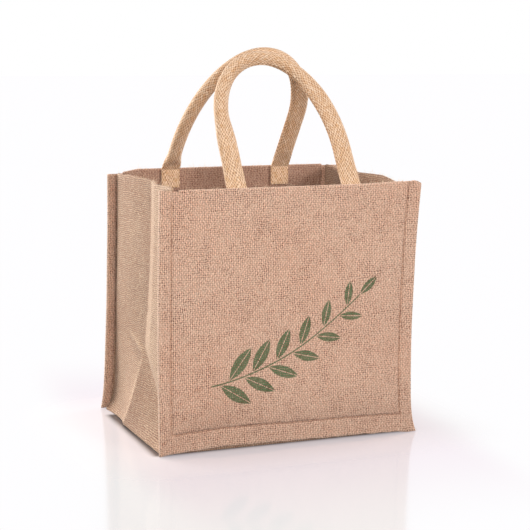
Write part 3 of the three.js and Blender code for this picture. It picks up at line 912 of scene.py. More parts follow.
def panel_columns(row, level):
    """x of every column from the left fin over the field to the right fin, how deep it lies behind the face
    where the fin's edge is folded, and its place on the flat cloth."""
    left, right = fin_edge(row, -1, level), fin_edge(row, 1, level)
    left_fin, right_fin = fin_width(row, -1), fin_width(row, 1)
    half = seam_to(fin_edge(row, 1, RIM) - right_fin)
    field = np.concatenate([half, 2 * half[-1] - half[::-1][1:]]) / (2 * half[-1])
    inset, behind, past = folded_edge(row)
    x = np.concatenate([
        left + inset[::-1],
        left + left_fin - seam_to(left_fin - FOLD_RADIUS)[::-1][:-1],
        left + left_fin + (right - left - left_fin - right_fin) * field,
        right - right_fin + seam_to(right_fin - FOLD_RADIUS)[1:],
        right - inset], axis=1)
    flat = x[:, len(past):-len(past)]
    depth = np.concatenate([behind[::-1], np.zeros(flat.shape[1]), behind])
    return x, depth, np.concatenate([left - past[::-1], flat, right + past], axis=1)


def panel_grid(row):
    """Points, UV, cells kept and shade. Rows run from the lower edge over the rim and down in the hem."""
    top = RIM - HEM_RADIUS
    fin_rows = BASE_FIN - seam_to(BASE_FIN - FIN_LIFT)[::-1]
    heights = np.concatenate([fin_rows, BASE_FIN + seam_to(top - BASE_FIN)[1:]])
    up, way_in = hem_rows()
    level = np.concatenate([heights, top + np.minimum(up, 0)])[:, None]
    over = np.concatenate([0 * heights, np.maximum(up, 0)])[:, None]
    inward = np.concatenate([0 * heights, way_in])[:, None]
    x, depth, spread = panel_columns(row, level)
    y = panel_outward(row, x, level) - inward - depth
    z = level + over + panel_lift(row, x, level + over)
    points = np.stack([x, SIDE_OF[row] * y, z], axis=-1)
    along = walked(points[:, points.shape[1] // 2])[:, None] + FIN_LIFT
    uv = np.stack([spread, along + 0 * x], axis=-1)
    in_hem = seam_distance(row, x[len(heights) - 1], RIM) > HEM_SETBACK
    keep = np.ones((len(level) - 1, x.shape[1] - 1), bool)
    keep[len(heights) - 1:] = in_hem[:-1] & in_hem[1:]
    shade = panel_shade(row, x, level, over, inward)
    if row == "front":
        return points, uv, keep, shade
    inset = folded_edge(row)[0][::-1]
    # painted shade on the strip folded behind the left rear fin
    shade[:, :len(inset)] += BACK_SHADE * rise(inset, FOLD_RADIUS, FOLD_RADIUS + FOLD_BACK)
    return tuple(values[:, ::-1] for values in (points, uv, keep, shade))


for row, finish in (("front", printed_jute), ("rear", panel_jute)):
    add_cloth(
        f"{row}_panel_cloth", f"{row}_panel", finish, panel_grid(row))

# %% [markdown]
# ## Side and base strip
# One long strip makes the left side, the base and the right side. It was folded flat in the factory, so a
# crease runs down each side and forks into an upside-down Y above the base, and the foot of the side
# stands out between the fins. A slanted wrinkle runs up behind the fork. Along both edges the strip turns
# outwards into a flange, which is sewn to the panel's fin. The strip is a grid too: one direction walks down
# the side, under the base and up again, the other across from seam to seam.

# %% Crease and fork
FLANGE_Y = FACE - 2 * CLOTH - LAYER_GAP
CREASE_Y = -6 * MM
CREASE_DEPTH = 7.5 * MM
CREASE_FULL = 130 * MM  # from this height up
CREASE_LEAN = 12 * MM  # to the rear, at the fork
LEAN_START = 0.8 * RIM  # height below which it leans
FORK_HEIGHT = 87 * MM
FORK_DEPTH = 6.0 * MM
FORK_POWERS = {"ridge_y": 1.9, "ridge": 0.85, "valley": 8}
FOLD_POWERS = {"bulge": 0.6, "flare": 2.2, "curl": 3}  # of the share walked from the rear seam
RIDGE_FOOT = 25 * MM  # where the two branches reach the floor
VALLEY_FOOT = -90 * MM
FOOT_FLARE = 11.5 * MM
WRINKLE = 2.0 * MM
WRINKLE_WIDTH = 3.5 * MM
WRINKLE_RUN = 46 * MM
WRINKLE_RISE = 0.36
WRINKLE_FOOT = FORK_HEIGHT - 6 * MM


def crease_line(z):
    """y of the crease: it leans to the rear on its way down to the fork."""
    return CREASE_Y + CREASE_LEAN * (1 - rise(z, FORK_HEIGHT, LEAN_START))


def wrinkle(y, z, width):
    """From 0 to 1: a bell curve across a line that slants up to the rear from the top of the fork, times
    half a sine wave along it."""
    behind = y - crease_line(z)
    share = np.clip(behind / WRINKLE_RUN, 0, 1)
    along = np.sin(np.pi * share ** FOLD_POWERS["bulge"])
    return bell(z - WRINKLE_FOOT - WRINKLE_RISE * behind, width) * along


def fork_lines(z):
    """y and depth of the two branches: a ridge to the rear and a valley to the front. Both start at the
    crease and bend out to the foot as a power of the share that is left to the floor, the ridge early and
    the valley late."""
    left = np.clip(1 - z / FORK_HEIGHT, 0, 1)
    upper = FORK_DEPTH + (CREASE_DEPTH - FORK_DEPTH) * rise(z, FORK_HEIGHT, CREASE_FULL)
    crease = crease_line(z)
    ridge_y = crease + (RIDGE_FOOT - crease) * left ** FORK_POWERS["ridge_y"]
    ridge = upper - (FOOT_FLARE + FORK_DEPTH) * left ** FORK_POWERS["ridge"]
    valley_y = crease + (VALLEY_FOOT - crease) * left
    valley = upper - (FOOT_FLARE + FORK_DEPTH) * left ** FORK_POWERS["valley"]
    return ridge_y, ridge, valley_y, valley


print("crease is", CREASE_DEPTH, "m deep and forks at", FORK_HEIGHT, "m")

# %% Side folds
CREASE_RETURN = 34 * MM
SIDE_BULGE = 5.0 * MM  # of the side behind the crease
BULGE_START = 30 * MM
FOOT_TUCK = 2 * MM
FOOT_CURL = 5 * MM
FOOT_ROLL = 4 * MM
SMALLEST = 0.1 * MM  # keeps a division away from 0


def side_fold(y, z):
    """How far a side lies inside the line between its two seams: from the rear seam a bulging stretch to the
    ridge, a straight one to the valley and another to the front. Above the fork ridge and valley are one
    crease. Near the floor the stretch behind the ridge curls out too, and the foot tucks back into the
    seams."""
    ridge_y, ridge, valley_y, valley = fork_lines(z)
    behind = np.clip((FLANGE_Y - y) / (FLANGE_Y - ridge_y), 0, 1)
    between = np.clip((ridge_y - y) / np.maximum(ridge_y - valley_y, SMALLEST), 0, 1)
    reach = np.maximum(np.minimum(CREASE_RETURN, FLANGE_Y + valley_y), SMALLEST)
    before = np.where(valley > 0, np.clip(1 - (valley_y - y) / reach, 0, 1), 1)
    bulge = SIDE_BULGE * np.sin(np.pi * behind ** FOLD_POWERS["bulge"]) * rise(z, BULGE_START, CREASE_FULL)
    curl = -(FOOT_FLARE + ridge * behind) * np.exp(-z / FOOT_CURL) * (1 - behind ** FOLD_POWERS["curl"])
    rear_part = ridge * np.where(ridge < 0, behind ** FOLD_POWERS["flare"], behind) - bulge + curl
    rear_part = rear_part - WRINKLE * wrinkle(y, z, WRINKLE_WIDTH)
    middle_part = ridge + (valley - ridge) * between
    fold = np.where(y > ridge_y, rear_part, np.where(y > valley_y, middle_part, valley * before))
    tuck = np.clip((FLANGE_Y - np.abs(y)) / FOOT_TUCK, 0, 1)
    roll = FOOT_ROLL * (1 - np.sqrt(1 - np.clip(1 - z / FOOT_ROLL, 0, 1) ** 2))
    return np.where(fold < 0, fold * tuck, fold) + roll


def softened(values, times):
    """Mean with the neighbours along both axes, done a few times, so that folds get a small radius."""
    for _ in range(times):
        edged = np.pad(values, 1, mode="edge")
        values = (edged[:-2, 1:-1] + edged[2:, 1:-1] + edged[1:-1, :-2] + edged[1:-1, 2:] + 2 * values) / 6
    return values


print("side bulges by", SIDE_BULGE, "m behind the crease")

# %% Strip columns
SIDE_PITCH = 2.0 * MM
SEAM_FOLD = 1.4 * MM
BASE_ROLL = 5 * MM
FLANGE_SPAN = (0.22, 0.88)  # shares of the fin's width that the flat flange covers
FLANGE_STEPS, BEND_STEPS, ROLL_STEPS = 6, 5, 9  # points on it, round the seam and under the base


def strip_columns():
    """Across the strip, for each column: y, share of the fin's width passed, and the lowest height. The
    flange is flat, a quarter circle turns it at the seam, and another rolls it under the base."""
    flange = np.linspace(*FLANGE_SPAN, FLANGE_STEPS)
    bend = np.linspace(0, np.pi / 2, BEND_STEPS)[1:]
    roll = np.linspace(0, np.pi / 2, ROLL_STEPS)[1:]
    y = np.concatenate([
        FLANGE_Y + 0 * flange,
        FLANGE_Y - SEAM_FOLD * (1 - np.cos(bend)),
        FLANGE_Y - SEAM_FOLD - (BASE_ROLL - SEAM_FOLD) * (1 - np.cos(roll))])
    inset = np.concatenate([flange, 1 - (1 - FLANGE_SPAN[1]) * (1 - np.sin(bend)), 1 + 0 * roll])
    low = np.concatenate([
        FIN_LIFT + (BASE_FIN - SEAM_FOLD - FIN_LIFT) * flange / flange[-1],
        BASE_FIN - SEAM_FOLD * (1 - np.sin(bend)),
        BASE_FIN * (1 - np.sin(roll))])
    flat = FLANGE_Y - BASE_ROLL
    web = np.linspace(-flat, flat, int(2 * flat / SIDE_PITCH))[1:-1]
    return (
        np.concatenate([-y, web, y[::-1]]),
        np.concatenate([inset, np.ones(len(web)), inset[::-1]]),
        np.concatenate([low, 0 * web, low[::-1]]))


print("columns across the strip:", len(strip_columns()[0]))

# %% Strip sides
SIDE_RIM = RIM - 0.5 * MM
SIDE_RIM_STEPS = {  # how high a side's rim steps, to which end, from where and to where, in millimetres
    -1: ((2.5, -1, 30, 90), (-3.0, 1, 40, 95)),
    1: ((2.2, -1, -50, 40), (-5.0, -1, 40, 95))}
NEAR_FLOOR = np.array([3, 2.1, 1.4, 0.9, 0.5, 0.25, 0.1, 0])  # rows, in pitches above the floor
UNEVEN_FROM = (2 * MM, 20 * MM)  # distances from the flange over which the unevenness grows
SOFTEN_TIMES = 2


def side_line(side, y, z, inset=1.0):
    """x of the straight line from seam to seam beside a point, or of the fins' edges where inset is 0."""
    front = fin_edge("front", side, z) - side * inset * fin_width("front", side)
    rear = fin_edge("rear", side, z) - side * inset * fin_width("rear", side)
    return front + (rear - front) * np.clip((y + FLANGE_Y) / (2 * FLANGE_Y), 0, 1)


def strip_side(side, y, inset, low):
    """One side of the strip from the rim down to its foot, rows by columns: the line between the seams less
    the folds."""
    even = np.linspace(1, 4 * SIDE_PITCH / RIM, int(RIM / SIDE_PITCH))
    share = np.concatenate([even, NEAR_FLOOR * SIDE_PITCH / RIM])[:, None]
    top = SIDE_RIM + steps_of(SIDE_RIM_STEPS[side], y) - HEM_RADIUS
    z = low + (top - low) * share
    fold = softened(side_fold(y + 0 * z, z), SOFTEN_TIMES) * (inset >= 1)
    uneven = UNEVEN * ripple(y, z, 3.0 * side) * rise(FLANGE_Y - np.abs(y), *UNEVEN_FROM)
    x = side_line(side, y, z, inset) - side * (fold + uneven)
    return np.stack([x, y + 0 * z, z], axis=-1)


def strip_hem(side, edge_row):
    """Rows from the inside edge of the hem up and over the rim, ending just before the side's first row."""
    up, inward = (values[::-1, None] for values in hem_rows())
    x = edge_row[:, 0] - side * inward
    return np.stack([x, edge_row[:, 1] + 0 * x, edge_row[:, 2] + up], axis=-1)


print("rim of the sides at", round(SIDE_RIM, 4), "m")

# %% Strip shade
# These marks are painted light in the shade attribute: painted shade at the foot, in the fork, behind the
# crease and under the wrinkle, and painted highlight on the ridge, the wrinkle and the stretch in front of
# the crease, with some wear on the pressed ridge.
FORK_SHADE = 0.14
FORK_FADE = 15 * MM  # below the top of the fork
# pale band behind the ridge: painted highlight and pressed wear
RIDGE_HIGHLIGHT_AND_WEAR = 0.24
RIDGE_HIGHLIGHT_AND_WEAR_WIDTH = (3 * MM, 8 * MM)  # at the fork, and what the foot adds
BAND_HIGHLIGHT = 0.11  # painted highlight on the stretch in front of the crease
BAND_EDGE = 2 * MM
BAND_START = (40 * MM, 70 * MM)  # heights over which it begins
CREASE_SHADE = 0.1
CREASE_SHADE_REACH = 13 * MM
SIDE_FOOT_SHADE = 0.14
SIDE_FOOT_REACH = 40 * MM
# painted shade under the wrinkle, and painted highlight on it
WRINKLE_SHADE, SHADE_BELOW, SHADE_WIDTH = 0.2, 7 * MM, 5 * MM
WRINKLE_HIGHLIGHT, HIGHLIGHT_ABOVE, HIGHLIGHT_WIDTH = 0.28, 1 * MM, 2.2 * MM


def side_shade(y, z):
    """Painted shade darkens the foot, the stretch between the branches of the fork, the cloth just behind
    the crease and under the wrinkle; painted highlight makes the ridge, the wrinkle and the stretch in front
    of the crease pale, and on the pressed ridge wear adds to it."""
    ridge_y, _, valley_y, _ = fork_lines(z)
    below = 1 - rise(z, FORK_HEIGHT - FORK_FADE, FORK_HEIGHT)
    between = np.clip((ridge_y - y) / np.maximum(ridge_y - valley_y, MM), 0, 1)
    # painted shade between the branches of the fork, darkest at the ridge
    inside = FORK_SHADE * (1 - between) * (between > 0)
    spread = RIDGE_HIGHLIGHT_AND_WEAR_WIDTH[0] + RIDGE_HIGHLIGHT_AND_WEAR_WIDTH[1] * np.clip(1 - z / FORK_HEIGHT, 0, 1)
    # pale band behind the ridge: painted highlight and pressed wear
    highlight_and_wear = RIDGE_HIGHLIGHT_AND_WEAR * bell(y - ridge_y, spread) * (y > ridge_y - MM)
    # painted shade just behind the crease
    behind = CREASE_SHADE * bell(y - ridge_y, CREASE_SHADE_REACH) * (y > ridge_y)
    # painted highlight in front of the crease
    band = BAND_HIGHLIGHT * rise(valley_y - y, 0, BAND_EDGE) * rise(z, *BAND_START)
    # painted shade towards the floor
    foot = SIDE_FOOT_SHADE * (1 - rise(z, 0, SIDE_FOOT_REACH))
    # painted shade under the wrinkle and painted highlight on it
    under = WRINKLE_SHADE * wrinkle(y, z + SHADE_BELOW, SHADE_WIDTH)
    slant = WRINKLE_HIGHLIGHT * wrinkle(y, z - HIGHLIGHT_ABOVE, HIGHLIGHT_WIDTH)
    return foot + (inside - highlight_and_wear) * below + behind * (1 - below) - band + under - slant


# the ridge's pale band is painted highlight and wear
print("ridge is rubbed by", RIDGE_HIGHLIGHT_AND_WEAR)

# %% Strip grid
BASE_ROWS = int(2 * HALF_WIDTH / (2 * SIDE_PITCH))
TURN_ROWS = 4  # of the hem's rows, those that still show on the outside


def strip_grid():
    """Left hem, left side, base, right side and right hem, one after the other."""
    y, inset, low = strip_columns()
    left, right = strip_side(-1, y, inset, low), strip_side(1, y, inset, low)
    share = np.linspace(0, 1, BASE_ROWS)[1:-1, None, None]
    base = left[-1] + (right[-1] - left[-1]) * share
    left_hem, right_hem = strip_hem(-1, left[0]), strip_hem(1, right[0])
    points = np.concatenate([left_hem, left, base, right[::-1], right_hem[::-1]])
    hem = len(left_hem)
    in_web = np.abs(y) < FLANGE_Y - SEAM_FOLD
    keep = np.ones((len(points) - 1, len(y) - 1), bool)
    keep[:hem] = keep[-hem:] = in_web[:-1] & in_web[1:]
    shade = side_shade(points[..., 1], points[..., 2])
    # painted shade on the inside of the hem
    shade[:hem - TURN_ROWS] = shade[TURN_ROWS - hem:] = INSIDE_SHADE["strip"]
    return points, walked_uv(points), keep, shade


add_cloth(
    "gusset_cloth", "gusset_strip", gusset_jute, strip_grid())

# %% [markdown]
# ## Inner walls
# A long wall runs from side to side and four short walls join it to the panels, which makes six cells. They
# are single sheets with a raw upper edge that waves a little, sewn on by narrow tabs.

# %% Dividers
DIVIDER_LOW, DIVIDER_TOP = (corner.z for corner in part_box("long_divider"))
WALL_WAVE = 1.6 * MM
WALL_STIFF = 20 * MM  # height up to which it is straight
WALL_CLEAR = 1.0 * MM
LONG_WALL_ROOM = np.linspace(-6, 6, 7) * MM  # y over which the long wall keeps clear of the strip's folds
TAB = 12 * MM
TAB_CORNER = 1.2 * MM
TAB_STEPS = 8
PANEL_CLEAR = 2.2 * MM
SEAM_CLEAR = BASE_FIN + 4 * MM  # how far a wall's lower corner is cut away beside the base seam
CUT_FROM, CUT_CURVE = 0.8, (0.78, 0.97)  # shares of the way from the long wall to the panel
LONG_GRID, CROSS_GRID = (60, 110), (50, 60)  # rows and columns


def wall_wave(along, z, phase):
    """Sideways wave of a wall, growing towards its free upper edge."""
    return WALL_WAVE * ripple(along, z, phase) * rise(z, WALL_STIFF, DIVIDER_TOP)


def long_wall():
    """Columns from side to side, rows upwards; the ends follow the folds of the strip."""
    rows, columns = LONG_GRID
    z = np.linspace(DIVIDER_LOW, DIVIDER_TOP, rows)[:, None]
    deepest = np.max([side_fold(y, z) for y in LONG_WALL_ROOM], axis=0) + CLOTH + WALL_CLEAR
    left, right = side_line(-1, 0, z) + deepest, side_line(1, 0, z) - deepest
    x = left + (right - left) * np.linspace(0, 1, columns)
    return np.stack([x, wall_wave(x, z, 1.0) - CLOTH / 2, z + 0 * x], axis=-1)


def cross_wall(side, row):
    """Plan: a tab along the long wall, a cut corner, the wall, a cut corner and a tab along the panel. Rows
    go upwards."""
    sign = SIDE_OF[row]
    middle = side * CELL_PITCH / 2
    rows, columns = CROSS_GRID
    share = np.linspace(0, 1, columns)
    low = DIVIDER_LOW + SEAM_CLEAR * rise(share, *CUT_CURVE) * (share >= CUT_FROM)
    height = low + (DIVIDER_TOP - low) * np.linspace(0, 1, rows)[:, None]
    start = 2 * CLOTH
    end = panel_outward(row, middle, height) - CLOTH - PANEL_CLEAR
    y = start + (end - start) * share
    wave = wall_wave(y, height, 4.0 + side + 2 * sign) * np.sin(np.pi * share)
    wall = np.stack([middle + wave, sign * y, height], axis=-1)
    tab = np.linspace(TAB, TAB_CORNER, TAB_STEPS)
    inner = wall[:, :1] + np.stack([-side * tab, 0 * tab - sign * TAB_CORNER, 0 * tab], axis=-1)
    outer = wall[:, -1:] + np.stack([side * tab[::-1], 0 * tab + sign * TAB_CORNER, 0 * tab], axis=-1)
    return np.concatenate([inner, wall, outer], axis=1)


def add_wall(node, points):
    """Wall whose flat size is walked along its middle row and its middle column."""
    uv = walked_uv(points)
    add_cloth(
        f"{node}_cloth", node, divider_jute, (points, uv))


add_wall("long_divider", long_wall())
for row in SIDE_OF:
    for column, side in (("left", -1), ("right", 1)):
        add_wall(f"{row}_{column}_divider", cross_wall(side, row))

# %% [markdown]
# ## Handles
# A handle is one length of webbing. Its ends are pressed flat and sewn inside the hem; above the rim a rope
# fills it and makes it round, and its two edges meet in a seam along the inside of the loop. The section
# is a super-ellipse that is carried along the middle line and changes from flat to round on the way.
# At the rim the webbing bends to the handle's lean.

# %% Handle line
PIVOT_Y = FACE - 1.6 * MM
HANDLES = {  # each leg: x at its foot, length of its straight part, and where the rope begins to fill it
    "front": {
        "rise": 148 * MM, "top": -4 * MM, "top_y": -13.7 * MM,
        "left": {"foot": -59.7 * MM, "straight": 75 * MM, "filled": (50 * MM, 86 * MM)},
        "right": {"foot": 61.8 * MM, "straight": 40 * MM, "filled": (96 * MM, 142 * MM)}},
    "rear": {
        "rise": 158.5 * MM, "top": 6 * MM, "top_y": 0.7 * MM,
        "left": {"foot": -62.7 * MM, "straight": 20 * MM, "filled": (6 * MM, 26 * MM)},
        "right": {"foot": 64.5 * MM, "straight": 75 * MM, "filled": (100 * MM, 150 * MM)}},
}
PLANE_OFFSET = 3.5 * MM  # of the handle's middle plane, inwards from the hinge
SEWN_LENGTH = 21 * MM
FINE_END = 10 * MM  # height up to which the rows lie close together
FINE_STEPS, LEG_STEPS, ARCH_STEPS = 34, 24, 50


def handle_lean(row):
    """Angle at which the top of the arch lies where the two handles meet: the arcsine of its reach over its
    distance from the hinge, less the angle of its offset."""
    handle = HANDLES[row]
    reach = (PIVOT_Y - SIDE_OF[row] * handle["top_y"]) / np.hypot(handle["rise"], PLANE_OFFSET)
    return np.arcsin(reach) - np.arctan2(PLANE_OFFSET, handle["rise"])


def leg_line(handle, side):
    """One half of the middle line from the sewn end to the top: a straight leg and a quarter of an ellipse.
    Gives x, the height up the handle and the share to which rope fills the webbing."""
    leg = handle[side]
    end, arch = leg["straight"], handle["rise"] - leg["straight"]
    turn = np.linspace(0, np.pi / 2, ARCH_STEPS)[1:]
    straight = np.concatenate([
        np.linspace(-SEWN_LENGTH, FINE_END, FINE_STEPS), np.linspace(FINE_END, end, LEG_STEPS)[1:]])
    curve = handle["top"] + (leg["foot"] - handle["top"]) * np.cos(turn)
    x = np.concatenate([0 * straight + leg["foot"], curve])
    up = np.concatenate([straight, end + arch * np.sin(turn)])
    return np.stack([x, up, rise(up, *leg["filled"])])


def handle_line(row):
    """Left half up and right half down, with the top once."""
    left, right = (leg_line(HANDLES[row], side) for side in ("left", "right"))
    return np.concatenate([left, right[:, -2::-1]], axis=1)


print("handles lean by", [round(float(np.degrees(handle_lean(row))), 1) for row in HANDLES], "degrees")

# %% Handle section
GRIP = 14 * MM
FLAT_WIDE, FLAT_THICK, FLAT_POWER = 20.5 * MM, 3.2 * MM, 0.4
OVAL_WIDE, OVAL_THICK, OVAL_POWER = 18.6 * MM, 10 * MM, 0.8
OVAL_RANGE = (5 * MM, 30 * MM)  # heights over which the flat end opens to an oval
LIP, LIP_AT, LIP_WIDTH = 0.6 * MM, 0.2, 0.12  # height, and radians from the seam
SEAM_DEPTH, SEAM_WIDTH = 0.9 * MM, 0.07
BEND = (-3.5 * MM, 5 * MM)  # heights between which the webbing turns to the handle's lean
NEAR_LIPS = np.array([0, 0.035, 0.07, 0.11, 0.16, 0.21, 0.27, 0.35])  # radians from the seam
ROUND_STEPS = 44  # over the rest of the section


def handle_section(up, fill, angle):
    """Super-ellipse: its half sizes and the power of cosine and sine go from a flat box shape to an oval,
    and to a circle as rope fills it. The seam is a groove between two lips at angle 0, inside the loop."""
    opened = rise(up, *OVAL_RANGE)
    power, wide, thick = (
        (flat + (oval - flat) * opened) * (1 - fill) + full * fill for flat, oval, full in (
            (FLAT_POWER, OVAL_POWER, 1), (FLAT_WIDE, OVAL_WIDE, GRIP), (FLAT_THICK, OVAL_THICK, GRIP)))
    away = np.abs((angle + np.pi) % (2 * np.pi) - np.pi)
    lips = opened * (LIP * bell(away - LIP_AT, LIP_WIDTH) - SEAM_DEPTH * bell(away, SEAM_WIDTH))
    cosine, sine = np.cos(angle), np.sin(angle)
    along = (wide / 2 + lips) * np.sign(cosine) * np.abs(cosine) ** power
    over = (thick / 2 + lips) * np.sign(sine) * np.abs(sine) ** power
    return along, over


def handle_grid(row):
    """Rows along the middle line, columns round the section, then a turn about the rim's hinge."""
    x, up, fill = handle_line(row)
    slope = unit(np.stack([np.gradient(x), np.gradient(up)], axis=1))
    far = np.linspace(NEAR_LIPS[-1], 2 * np.pi - NEAR_LIPS[-1], ROUND_STEPS)[1:-1]
    angle = np.concatenate([NEAR_LIPS, far, 2 * np.pi - NEAR_LIPS[::-1]])
    along, over = handle_section(up[:, None], fill[:, None], angle[None, :])
    raised = up[:, None] - slope[:, :1] * along
    out = PLANE_OFFSET + over
    lean = handle_lean(row) * rise(up, *BEND)[:, None]
    inward = out * np.cos(lean) + raised * np.sin(lean)
    z = RIM - out * np.sin(lean) + raised * np.cos(lean)
    points = np.stack([x[:, None] + slope[:, 1:] * along, SIDE_OF[row] * (PIVOT_Y - inward), z], axis=-1)
    steps = np.hypot(np.diff(along, axis=1), np.diff(over, axis=1))
    tape = np.concatenate([np.zeros((len(up), 1)), np.cumsum(steps, axis=1)], axis=1)
    run = walked(np.stack([x, up], axis=1))[:, None]
    uv = np.stack([tape, run + 0 * tape], axis=-1)
    if row == "rear":
        return points[:, ::-1], uv[:, ::-1]
    return points, uv


print("grip is", GRIP, "m thick")

# %% Handles
WELD = 1e-6


def close_tube(mesh):
    """Welds the seam line and fills the two open ends."""
    work = bmesh.new()
    work.from_mesh(mesh)
    bmesh.ops.remove_doubles(work, verts=work.verts, dist=WELD)
    bmesh.ops.holes_fill(work, edges=[edge for edge in work.edges if edge.is_boundary], sides=0)
    bmesh.ops.recalc_face_normals(work, faces=work.faces)
    work.to_mesh(mesh)
    work.free()
    mesh.shade_smooth()


for row, sign in SIDE_OF.items():
    handle_mesh = grid_mesh(f"{row}_handle_webbing", *handle_grid(row))
    close_tube(handle_mesh)
    handle = add_piece(f"{row}_handle_webbing", handle_mesh, handle_webbing)
    lean = handle_lean(row)
    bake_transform(handle)
    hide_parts(f"{row}_handle_sleeve", f"{row}_handle_core",
                f"{row}_handle_left_end", f"{row}_handle_right_end")

# %% [markdown]
# ## Stitches
# The seams are sewn with a brown thread that sinks into the groove, and each handle end is sewn to the hem
# by a box with a cross in it. A stitch is a small pill: rings of points along a short piece of the sewing
# line, with a radius that shrinks at both ends. Slanted stripes stand for the twist of the thread.

# %% Stitch shape
STITCH_LENGTH = 4.4 * MM
STITCH_STEP = 5.6 * MM
THREAD_RADIUS = 0.42 * MM
TWIST_LENGTH = 1.1 * MM
PILL_STATIONS = np.linspace(-1, 1, 7)
PILL_SIDES = 6
PILL_SHRINK = 0.9
THREAD_BUMP = {"Strength": 0.5, "Distance": 0.1 * MM}
THREAD_SURFACE = {"Roughness": 0.7}


def thread_finish(name, light, dark):
    """Stripes are a sine of the length plus the way round, in metres."""
    material, thread = start_material(name)
    stripe = (vector_of("DOT_PRODUCT", thread, (1, 1, 0)) * (2 * np.pi / TWIST_LENGTH)).math("SINE")
    return finish_material(
        material, mixed(stripe * 0.5 + 0.5, light, dark), stripe, THREAD_BUMP, THREAD_SURFACE)


def points_at(run, line):
    """Points of a line at given metres walked along it."""
    passed = walked(line)
    return np.stack([np.interp(run, passed, line[:, axis]) for axis in range(3)], axis=-1)


def stitch_rings(line, facing):
    """Rings of every stitch along a line of points, as an array [stitches, stations, sides, 3]. The radius
    is the root of 1 less a share of the station's fourth power."""
    middles = np.arange(STITCH_STEP / 2, walked(line)[-1], STITCH_STEP)
    centre = points_at(middles[:, None] + PILL_STATIONS * STITCH_LENGTH / 2, line)
    across = np.cross(facing, unit(centre[:, -1:] - centre[:, :1]))
    turn = np.linspace(0, 2 * np.pi, PILL_SIDES, endpoint=False)[:, None]
    radius = THREAD_RADIUS * np.sqrt(1 - PILL_SHRINK * PILL_STATIONS ** 4)[:, None, None]
    ring = np.cos(turn) * across[:, :, None] + np.sin(turn) * np.array(facing)
    return centre[:, :, None] + radius * ring


def add_tubes(name, rings, reach, radius, material):
    """One mesh of closed tubes from rings [tubes, stations, sides, 3]; reach is the way along a tube at each
    station, for the UV map."""
    count, stations, sides = rings.shape[:3]
    number = np.arange(count * stations * sides).reshape(count, stations, sides)
    near, far = number[:, :-1], number[:, 1:]
    walls = np.stack([near, np.roll(near, -1, axis=2), np.roll(far, -1, axis=2), far], axis=-1)
    caps = np.concatenate([number[:, 0, ::-1], number[:, -1]])
    mesh = bpy.data.meshes.new(name)
    mesh.from_pydata(rings.reshape(-1, 3).tolist(), [], walls.reshape(-1, 4).tolist() + caps.tolist())
    lengths, rounds = np.meshgrid(reach, np.arange(sides) * radius, indexing="ij")
    uv = np.tile(np.stack([lengths, rounds], axis=-1).reshape(-1, 2), (count, 1))
    corners = np.concatenate([walls.ravel(), caps.ravel()])
    mesh.uv_layers.new(name="UVMap").data.foreach_set("uv", uv[corners].ravel())
    mesh.shade_smooth()
    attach(add_piece(name, mesh, material), "bag")


def add_stitches(name, lines, facing, material):
    """A pill for every stitch of all the lines."""
    rings = np.concatenate([stitch_rings(line, facing) for line in lines])
    add_tubes(name, rings, PILL_STATIONS * STITCH_LENGTH / 2, THREAD_RADIUS, material)


print("a stitch every", STITCH_STEP, "m")

# %% Sewing lines
SEAM_TOP = 9 * MM  # below the rim
SEAM_POINTS = 200  # on each stretch
THREAD_SINK = 0.1 * MM
BOX_HALF = 7.5 * MM
BOX_LOW, BOX_HIGH = RIM - SEWN_LENGTH + 2.5 * MM, RIM - 6 * MM


def seam_line(row):
    """Down the left seam, along the base and up the right seam, on the floor of the groove."""
    down = np.linspace(RIM - SEAM_TOP, BASE_FIN, SEAM_POINTS)
    across = np.linspace(0, 1, SEAM_POINTS)[1:-1]
    left = fin_edge(row, -1, down) + fin_width(row, -1)
    right = fin_edge(row, 1, down) - fin_width(row, 1)
    x = np.concatenate([left, left[-1] + (right[-1] - left[-1]) * across, right[::-1]])
    level = np.concatenate([down, BASE_FIN + 0 * across, down[::-1]])
    y = SIDE_OF[row] * (panel_outward(row, x, level) - THREAD_SINK)
    return np.stack([x, y, level + panel_lift(row, x, level)], axis=1)


def box_lines(row, side):
    """A box and its two diagonals on the inner face of a handle's flat end."""
    middle = HANDLES[row][side]["foot"]
    y = SIDE_OF[row] * (PIVOT_Y - PLANE_OFFSET - FLAT_THICK / 2)
    turns = ((-1, BOX_LOW), (1, BOX_LOW), (1, BOX_HIGH), (-1, BOX_HIGH), (-1, BOX_LOW))
    box = np.array([(middle + way * BOX_HALF, y, z) for way, z in turns])
    return [box, box[[0, 2]], box[[1, 3]]]


seam_thread = thread_finish("seam_thread", srgb(220, 178, 148), srgb(188, 146, 116))
handle_thread = thread_finish("handle_thread", srgb(240, 214, 182), srgb(206, 172, 134))
for row, sign in SIDE_OF.items():
    add_stitches(f"{row}_seam_stitches", [seam_line(row)], (0, sign, 0), seam_thread)
    ends = box_lines(row, "left") + box_lines(row, "right")
    add_stitches(f"{row}_handle_stitches", ends, (0, -sign, 0), handle_thread)

# %% [markdown]
# ## Loose fibres
# Jute is a hairy yarn: where it is folded at the rim, single fibres stick out. Blender's hair would be lost
# on export, so each fibre is a thin three-sided tube along a parabola, with seeded random numbers for its
# place, lean, bend and length. They keep clear of the handles, which swing over the rim.

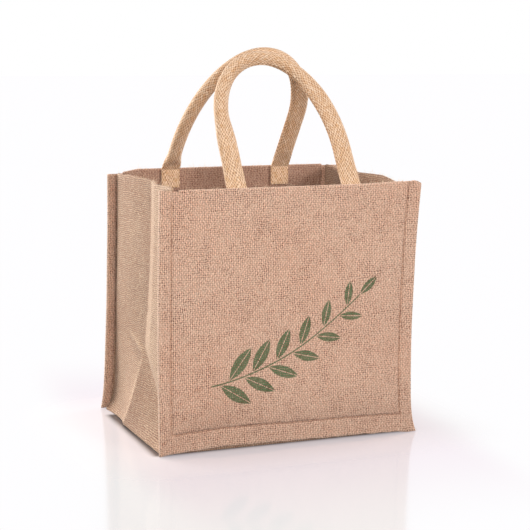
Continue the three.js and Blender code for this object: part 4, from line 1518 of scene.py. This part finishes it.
# %% Rim fibres
FIBRES_PER_METRE = 480
FIBRE_RADIUS = 0.11 * MM
FIBRE_LENGTH = (1.5 * MM, 6.5 * MM)
FIBRE_STATIONS = np.linspace(0, 1, 5)
FIBRE_SIDES = 3
FIBRE_LEAN, FIBRE_BEND = 0.7, 0.35
FIBRE_UPRIGHT = 0.35
FIBRE_TAPER = 0.7
ODD_DIRECTION = (0.36, 0.48, 0.8)  # along which no fibre lies
HANDLE_ROOM = 17 * MM
RIM_REACH = {"panel": 118 * MM, "strip": 92 * MM}  # from the middle of a rim
chance = np.random.default_rng(11)


def rim_line(points, axis, reach):
    """Highest point of every column within a reach of the middle, in order along an axis."""
    top = points[np.argmax(points[..., 2], axis=0), np.arange(points.shape[1])]
    top = top[np.abs(top[:, axis]) < reach]
    return top[np.argsort(top[:, axis])]


def fibre_rings(line):
    """Rings along start + length * (share * lean + square of the share * bend), thinner towards the tip."""
    whole = walked(line)[-1]
    count = int(whole * FIBRES_PER_METRE)
    start = points_at(chance.uniform(0, whole, count), line)
    lean = chance.normal(0, FIBRE_LEAN, (count, 3))
    lean[:, 2] = np.abs(lean[:, 2]) + FIBRE_UPRIGHT
    lean = unit(lean)
    bend = chance.normal(0, FIBRE_BEND, (count, 3))
    shortest, longest = FIBRE_LENGTH
    length = shortest + (longest - shortest) * chance.random(count) ** 2
    share = FIBRE_STATIONS[:, None]
    centre = start[:, None] + length[:, None, None] * (share * lean[:, None] + share ** 2 * bend[:, None])
    side = unit(np.cross(lean, ODD_DIRECTION))
    turn = np.linspace(0, 2 * np.pi, FIBRE_SIDES, endpoint=False)[:, None]
    ring = np.cos(turn) * side[:, None] + np.sin(turn) * np.cross(lean, side)[:, None]
    radius = FIBRE_RADIUS * (1 - FIBRE_TAPER * FIBRE_STATIONS)[:, None, None]
    feet = np.array([HANDLES[row][end]["foot"] for row in HANDLES for end in ("left", "right")])
    clear = np.abs(start[:, :1] - feet).min(axis=1) > HANDLE_ROOM
    return (centre[:, :, None] + radius * ring[:, None])[clear]


strip_points = strip_grid()[0]
halfway = len(strip_points) // 2
rims = [rim_line(panel_grid(row)[0], 0, RIM_REACH["panel"]) for row in SIDE_OF]
rims += [rim_line(part, 1, RIM_REACH["strip"]) for part in (strip_points[:halfway], strip_points[halfway:])]
loose_fibre = thread_finish("loose_fibre", srgb(255, 238, 214), srgb(236, 202, 166))
add_tubes(
    "rim_fibres", np.concatenate([fibre_rings(line) for line in rims]), FIBRE_STATIONS * FIBRE_LENGTH[1],
    FIBRE_RADIUS, loose_fibre)
